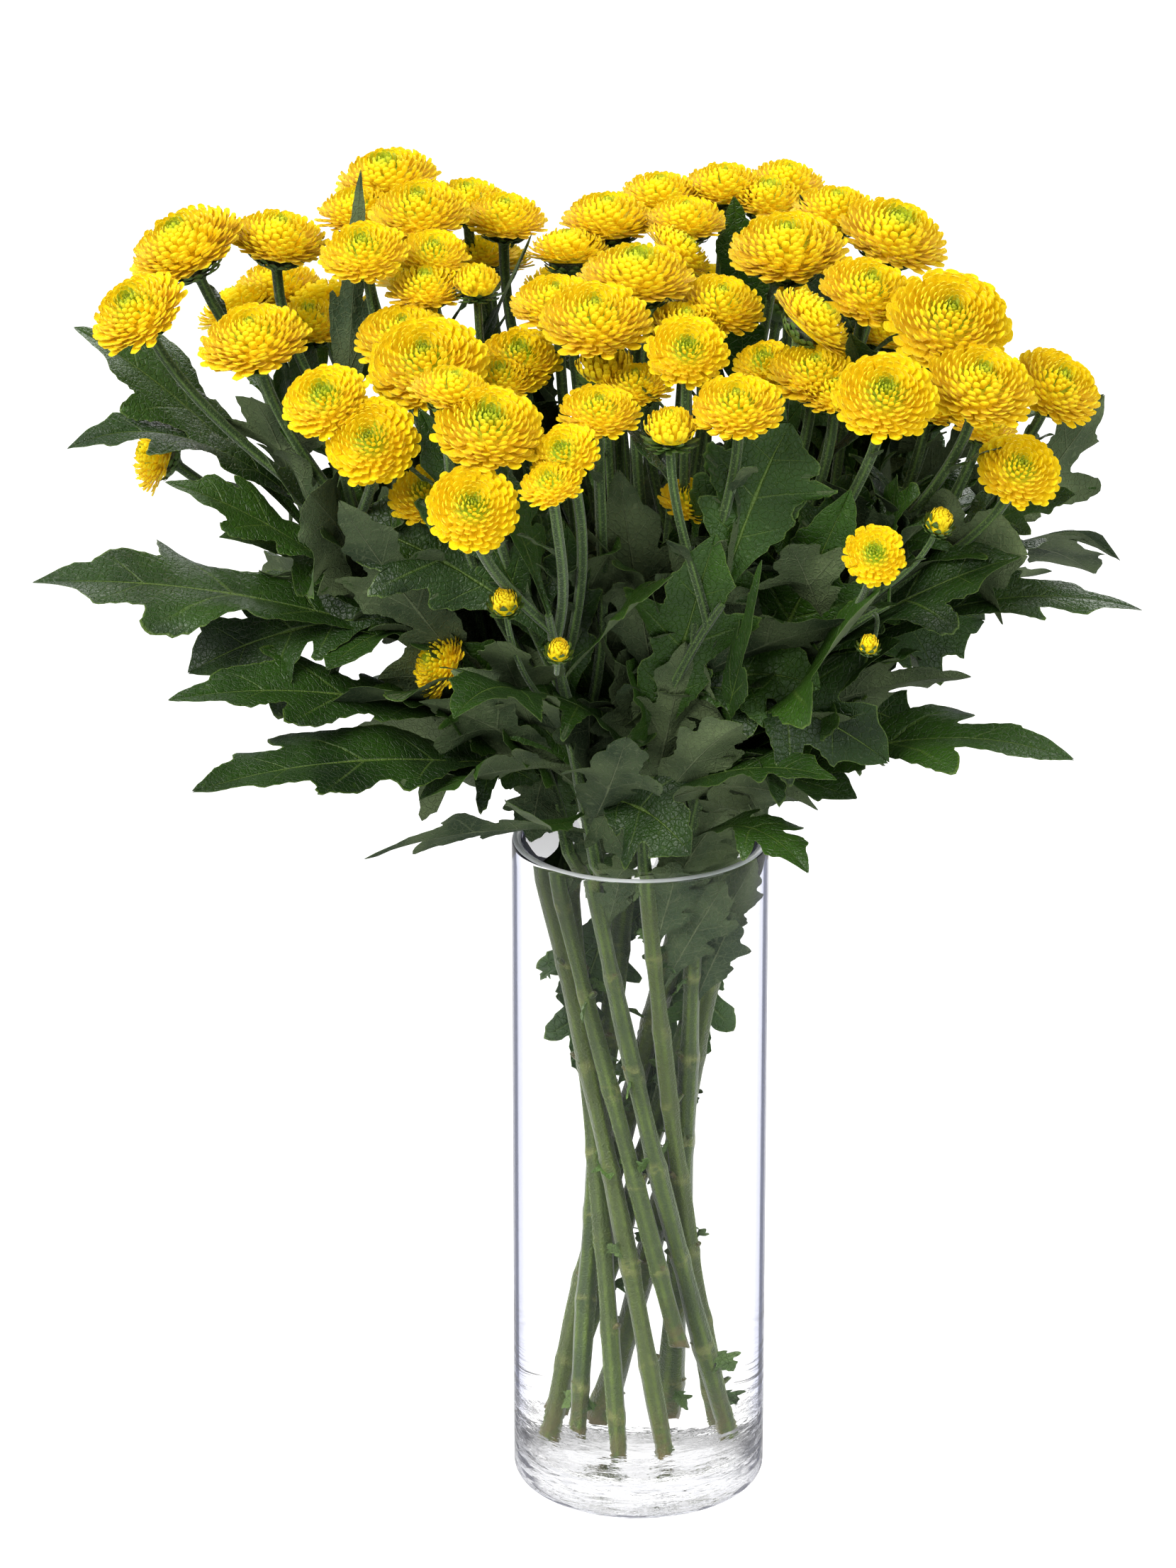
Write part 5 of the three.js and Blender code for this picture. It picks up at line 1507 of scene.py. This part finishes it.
def add_stalk_leaves(shell, head, rng):
    """The narrow little leaves where a side stalk forks."""
    if head.form == "bud":
        return
    for share in (rng.uniform(0.3, 0.5), rng.uniform(0.62, 0.84)):
        root, along = bezier(head.path, share)
        bearing = rng.uniform(0, 2 * math.pi)
        way = (along + Vector((math.cos(bearing), math.sin(bearing), 0)) * 0.9).normalized()
        reach = rng.uniform(14, 32)
        tip = root + way * reach
        if inside_box(tip):
            face = (-0.6 * way.x, -0.6 * way.y, 1)
            add_leaf(shell, root, tip, reach * 0.16, 2, face, rng, SLIM_OUTLINE, columns=2, rows=16)


def add_scraps(shell, stem, rng):
    """Scraps of torn leaves that hang on at the nodes under water."""
    for place in node_places(stem) * 2:
        if rng.random() < 0.6:
            continue
        bearing = rng.uniform(0, 2 * math.pi)
        way = Vector((math.cos(bearing), math.sin(bearing), rng.choice((-1, 1)) * rng.uniform(0.5, 2.2)))
        way.normalize()
        reach = rng.uniform(6, 14)
        tip = place + way * (STEM_RADIUS + reach)
        if tip.xy.length < VASE_RADIUS - WALL - 2 and FLOOR + 4 < tip.z < WATER_TOP:
            face = (rng.uniform(-1, 1), rng.uniform(-1, 1), 0.6)
            add_leaf(shell, place + way * STEM_RADIUS * 0.8, tip, reach * rng.uniform(0.3, 0.5), 2, face,
                     rng, columns=2, rows=40, tint=rng.uniform(1.5, 2.2))


BOX_MARGIN = 6


def inside_box(point):
    """Whether a point lies well inside the box of the solids."""
    low, high = CAD_BOX
    return all(low[i] / MM + BOX_MARGIN < point[i] < high[i] / MM - BOX_MARGIN for i in range(3))


def build_leaves(settings, mottle):
    """A piece for each spray with its lobed leaves, large and small."""
    green = leaf_material(settings, mottle)
    for index, (letter, stem) in enumerate(BOUQUET.items()):
        rng = random.Random(SEED * 100 + index)
        shell = Shell()
        for leaf in stem.leaves:
            add_leaf(shell, *leaf, rng)
        for owner, height, tip, half_width, arch, face in MOUTH_LEAVES:
            if owner == letter:
                add_leaf(shell, stem.at(height)[0], tip, half_width, arch, face, rng, rows=60)
        add_scraps(shell, stem, rng)
        add_fill_leaves(shell, stem, settings.fill_leaves, rng)
        for head in stem.heads:
            add_stalk_leaves(shell, head, rng)
        piece = shell.make("leaves_" + letter, green)
        finish_piece(piece, "leaf", "leafy_stem_" + letter)


# How each kind of head is made. Sizes are shares of its diameter, angles are in degrees from its
# axis, and "petals" is a share of an open head's count.
HEAD_FORMS = {
    "open": {
        "petals": 1.0, "radius": 0.5, "height": 0.38, "level": 0.05, "first_angle": 0,
        "last_angle": 97, "outer_base": 0.15, "inner_base_level": 0.14, "outer_base_level": 0.01,
        "inner_knee_reach": 1.7, "outer_knee_reach": 0.62, "inner_knee_rise": 0.75,
        "outer_knee_rise": 0.15, "lift": 0.02, "inner_width": 0.008, "outer_width": 0.057,
        "dimple": 0.04, "core": (0.33, 0.24),
    },
    "button": {
        "petals": 0.9, "radius": 0.52, "height": 0.6, "level": 0.16, "first_angle": 0,
        "last_angle": 78, "outer_base": 0.3, "inner_base_level": 0.10, "outer_base_level": 0.0,
        "inner_knee_reach": 1.4, "outer_knee_reach": 1.05, "inner_knee_rise": 0.7,
        "outer_knee_rise": 0.45, "lift": 0.0, "inner_width": 0.014, "outer_width": 0.06,
        "dimple": 0.05, "core": (0.34, 0.42),
    },
    "bud": {
        "petals": 0.8, "radius": 0.44, "height": 0.66, "level": 0.2, "first_angle": 0,
        "last_angle": 56, "outer_base": 0.26, "inner_base_level": 0.10, "outer_base_level": 0.0,
        "inner_knee_reach": 1.4, "outer_knee_reach": 1.1, "inner_knee_rise": 0.7,
        "outer_knee_rise": 0.5, "lift": 0.0, "inner_width": 0.03, "outer_width": 0.08,
        "dimple": 0.03, "core": (0.36, 0.5),
    },
}


def build_core(head, finish):
    """The dome under a head's petals, which closes the view between them."""
    wide, high = (share * head.diameter for share in HEAD_FORMS[head.form]["core"])
    profile = [(0, 0.2)] + [
        (wide * math.cos(a), 0.2 + high * math.sin(a)) for a in np.radians([0, 18, 36, 54, 72])]
    profile.append((0, high + 0.2))
    points, faces = turned_points(profile, 18)
    out = np.hypot([p[0] for p in points], [p[1] for p in points]) / (0.5 * head.diameter)
    shell = Shell()
    # along 0.3 gives the core a petal foot's colour: the throat's painted shade, and the heart's painted
    # shade towards its middle
    shell.add(points, faces, along=0.3, share=0.3 * out, chance=0.0, turn=0.0)
    return shell.make("core", finish)


AGES = (0.7, 2.2)                   # the older a head, the smaller its green heart
GATHER = 0.94                       # how evenly its petals spread from the heart outwards
LOOSENESS = 0.06


def age_petals(mesh, age):
    """Makes a head's green heart smaller the older it is."""
    shares = np.zeros(len(mesh.vertices), np.float32)
    mesh.attributes["share"].data.foreach_get("value", shares)
    mesh.attributes["share"].data.foreach_set("value", shares * age)


def build_head(head, settings, trees, finish, seed):
    """One flower head at its place: petals in a spiral over a core."""
    form = HEAD_FORMS[head.form]
    size = head.diameter * MM
    scaled = ("radius", "height", "level", "outer_base", "inner_base_level", "outer_base_level",
              "lift", "inner_width", "outer_width", "dimple")
    values = {name: size * form[name] for name in scaled}
    values |= {name: form[name] for name in form if "_knee_" in name}
    petals = bake_tree(
        link_mesh("petals", bpy.data.meshes.new("petals")), trees["ring"],
        count=int(settings.petals * head.diameter * form["petals"]), seed=seed, gather=GATHER,
        first_angle=math.radians(form["first_angle"]), last_angle=math.radians(form["last_angle"]),
        inner_base=0.0, looseness=LOOSENESS, blade=trees["petal"], finish=finish, **values)
    age_petals(petals.data, random.Random(seed).uniform(*AGES))
    whole = joined("head", [petals, build_core(head, finish)])
    whole.data.transform(head.place())
    return whole


def blooms_by_node(heads):
    """Which bloom of the frame each head belongs to: the one whose surface is nearest its crown."""
    names = [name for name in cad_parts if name.startswith("bloom_")]
    spots, owners = [], []
    for name in names:
        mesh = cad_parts[name].data
        places = mesh_places(mesh)
        spots.append(places)
        owners += [name] * len(places)
    spots = np.concatenate(spots)
    blooms = {name: [] for name in names}
    for head in heads:
        crown = np.array((head.seat + head.axis * (HEAD_DIP * head.height)) * MM)
        blooms[owners[int(np.argmin(((spots - crown) ** 2).sum(axis=1)))]].append(head)
    empty = [name for name, own in blooms.items() if not own]
    if empty:
        raise RuntimeError("no head was found for " + ", ".join(empty))
    return blooms


def build_flowers(settings, trees, mottle):
    """A piece for each bloom of the frame, and one for the closed buds of each spray."""
    finish = petal_material(settings, mottle)
    heads = [head for stem in BOUQUET.values() for head in stem.heads]
    seeds = {id(head): number for number, head in enumerate(heads)}
    opened = [head for head in heads if head.form != "bud"]
    for name, own in blooms_by_node(opened).items():
        pieces = [build_head(head, settings, trees, finish, seeds[id(head)]) for head in own]
        finish_piece(joined(name.replace("bloom", "flower_heads"), pieces), "petal", name)
    for letter, stem in BOUQUET.items():
        buds = [head for head in stem.heads if head.form == "bud"]
        if buds:
            pieces = [build_head(head, settings, trees, finish, seeds[id(head)]) for head in buds]
            finish_piece(joined("flower_buds_" + letter, pieces), "petal", "leafy_stem_" + letter)


def plant_trees():
    """The two node trees and the two blades that the flowers and the stalks are made with."""
    return {
        "ring": petal_ring_tree(), "stalk": ridged_stalk_tree(),
        "petal": blade_template("petal_blade", PETAL_ROWS, PETAL_TIP_RISE),
        "bract": blade_template("bract_blade", BRACT_ROWS, BRACT_TIP_RISE),
    }


def clear_trees(trees):
    """Takes the two blades away again, once all the petals are made."""
    bpy.data.objects.remove(trees["petal"])
    bpy.data.objects.remove(trees["bract"])


def add_lamp(name, place, target, power, size, tone=(1, 1, 1)):
    """A large soft square lamp that looks at a point."""
    lamp = bpy.data.lights.new(name, "AREA")
    lamp.energy = power
    lamp.size = size
    lamp.color = tone
    item = bpy.data.objects.new(name, lamp)
    bpy.context.scene.collection.objects.link(item)
    item.visible_transmission = False
    item.location = place
    item.rotation_euler = (Vector(target) - Vector(place)).to_track_quat("-Z", "Y").to_euler()


FLOOR_HIDDEN = 0.8                  # how much less of the floor's glow the glass mirrors
PAPER = (0.2, 0.2, 0.205, 1.0)      # dark under its own glow, so that shadows stay faint


def build_floor(settings):
    """A plain white floor that runs out past the camera's view."""
    half = settings.width / 2
    mesh = bpy.data.meshes.new("floor")
    mesh.from_pydata([(-half, -half, 0), (half, -half, 0), (half, half, 0), (-half, half, 0)], [],
                     [(0, 1, 2, 3)])
    material, tree, shader = new_material("floor_paper", Base_Color=PAPER, Roughness=0.9)
    shader.inputs["Emission Color"].default_value = WHITE
    path = tree.nodes.new("ShaderNodeLightPath")
    mirrored = Field(tree, path.outputs["Is Glossy Ray"]) - Field(tree, path.outputs["Is Transmission Ray"])
    glow = settings.floor_glow * (1.0 - FLOOR_HIDDEN * mirrored.math("MAXIMUM", 0.0))
    join_up(tree, glow, shader.inputs["Emission Strength"])
    mesh.materials.append(material)
    link_mesh("floor", mesh)


DUSK = (0.2, 0.22, 0.28, 1.0)       # the room near the horizon
SEEN_DUSK = (0.93, 0.94, 1.0, 1.0)  # the same, seen through the glass


def build_room(settings):
    """White light from above, dusk near the horizon for the glass to mirror, and a white view."""
    world = bpy.data.worlds.new("room")
    bpy.context.scene.world = world
    world.use_nodes = True
    tree = world.node_tree
    lit = tree.nodes["Background"]
    where = add_node(tree, "ShaderNodeSeparateXYZ",
                     Vector=tree.nodes.new("ShaderNodeTexCoord").outputs["Generated"])
    height = Field(tree, where.outputs[2])
    path = tree.nodes.new("ShaderNodeLightPath")
    through = Field(tree, path.outputs["Is Transmission Ray"])
    dusk = blend(tree, through, DUSK, SEEN_DUSK)
    join_up(tree, blend(tree, height.between(0.1, 0.75), dusk, WHITE), lit.inputs["Color"])
    join_up(tree, through * (1.0 - settings.sky) + settings.sky, lit.inputs["Strength"])
    seen = add_node(tree, "ShaderNodeBackground", Color=WHITE, Strength=1.0)
    mix = tree.nodes.new("ShaderNodeMixShader")
    tree.links.new(path.outputs["Is Camera Ray"], mix.inputs[0])
    tree.links.new(lit.outputs[0], mix.inputs[1])
    tree.links.new(seen.outputs[0], mix.inputs[2])
    tree.links.new(mix.outputs[0], tree.nodes["World Output"].inputs["Surface"])


def build_camera():
    """The camera, which sees the bouquet at the photograph's angle."""
    camera = bpy.data.cameras.new("camera")
    camera.sensor_fit = "VERTICAL"
    camera.sensor_height = SENSOR
    camera.lens = FOCAL / ROWS * SENSOR
    item = bpy.data.objects.new("camera", camera)
    bpy.context.scene.collection.objects.link(item)
    item.location = EYE * MM
    item.rotation_euler = (math.pi / 2 - PITCH, 0, YAW)
    bpy.context.scene.camera = item


# ---- operators and panel ----------------------------------------------------------------------

class BOUQUET_OT_stage(bpy.types.Operator):
    """Lay the floor, hang the lamps and set the camera"""

    bl_idname = "bouquet.stage"
    bl_label = "Build stage"

    def execute(self, context):
        settings = context.scene.bouquet_stage
        build_floor(settings)
        build_room(settings)
        build_camera()
        middle = (0, 0, 0.3)
        add_lamp("key_lamp", (-1.5, -1.3, 2.1), middle, settings.key, 1.6, (1.0, 0.985, 0.96))
        add_lamp("fill_lamp", (1.9, -1.2, 1.3), middle, settings.fill, 1.8, (0.95, 0.98, 1.0))
        add_lamp("back_lamp", (0.5, 2.0, 1.8), middle, settings.back, 1.6)
        context.scene.view_settings.view_transform = "Standard"
        return {"FINISHED"}


class BOUQUET_OT_vase(bpy.types.Operator):
    """Turn the glass cylinder"""

    bl_idname = "bouquet.vase"
    bl_label = "Build vase"

    def execute(self, context):
        build_vase(context.scene.bouquet_vase)
        return {"FINISHED"}


class BOUQUET_OT_water(bpy.types.Operator):
    """Fill the vase with water"""

    bl_idname = "bouquet.water"
    bl_label = "Build water"

    def execute(self, context):
        build_water(context.scene.bouquet_vase)
        return {"FINISHED"}


class BOUQUET_OT_greenery(bpy.types.Operator):
    """Grow the stems, stalks, calyxes and leaves"""

    bl_idname = "bouquet.greenery"
    bl_label = "Build stems and leaves"

    def execute(self, context):
        settings = context.scene.bouquet_greenery
        mottle = mottle_group()
        trees = plant_trees()
        build_stems(settings, trees, mottle)
        build_leaves(settings, mottle)
        clear_trees(trees)
        return {"FINISHED"}


class BOUQUET_OT_flowers(bpy.types.Operator):
    """Open the flower heads and set the buds"""

    bl_idname = "bouquet.flowers"
    bl_label = "Build flowers"

    def execute(self, context):
        trees = plant_trees()
        build_flowers(context.scene.bouquet_flowers, trees, mottle_group())
        clear_trees(trees)
        return {"FINISHED"}


class BOUQUET_PT_panel(bpy.types.Panel):
    """Sizes, colours and building steps of the bouquet"""

    bl_idname = "BOUQUET_PT_panel"
    bl_label = "Bouquet"
    bl_space_type = "VIEW_3D"
    bl_region_type = "UI"
    bl_category = "Bouquet"

    def draw(self, context):
        for step, group in STEPS:
            box = self.layout.box()
            box.operator(step.bl_idname)
            if group:
                settings = getattr(context.scene, group)
                for name in settings.bl_rna.properties.keys():
                    if name not in ("rna_type", "name"):
                        box.prop(settings, name)


STEPS = [
    (BOUQUET_OT_stage, "bouquet_stage"), (BOUQUET_OT_vase, "bouquet_vase"),
    (BOUQUET_OT_water, None), (BOUQUET_OT_greenery, "bouquet_greenery"),
    (BOUQUET_OT_flowers, "bouquet_flowers"),
]
GROUPS = {
    "bouquet_stage": StageSettings, "bouquet_vase": VaseSettings,
    "bouquet_greenery": GreenerySettings, "bouquet_flowers": FlowerSettings,
}
CLASSES = [*GROUPS.values(), *(step for step, _ in STEPS), BOUQUET_PT_panel]


def register():
    """Adds the settings, the building steps and the panel."""
    for item in CLASSES:
        bpy.utils.register_class(item)
    for name, group in GROUPS.items():
        setattr(bpy.types.Scene, name, bpy.props.PointerProperty(type=group))


def unregister():
    """Takes them away again."""
    for name in GROUPS:
        delattr(bpy.types.Scene, name)
    for item in reversed(CLASSES):
        bpy.utils.unregister_class(item)


def main():
    """Builds the whole object."""
    register()
    bpy.ops.bouquet.stage()
    bpy.ops.bouquet.vase()
    bpy.ops.bouquet.water()
    bpy.ops.bouquet.greenery()
    bpy.ops.bouquet.flowers()


if __name__ == "__main__":
    main()
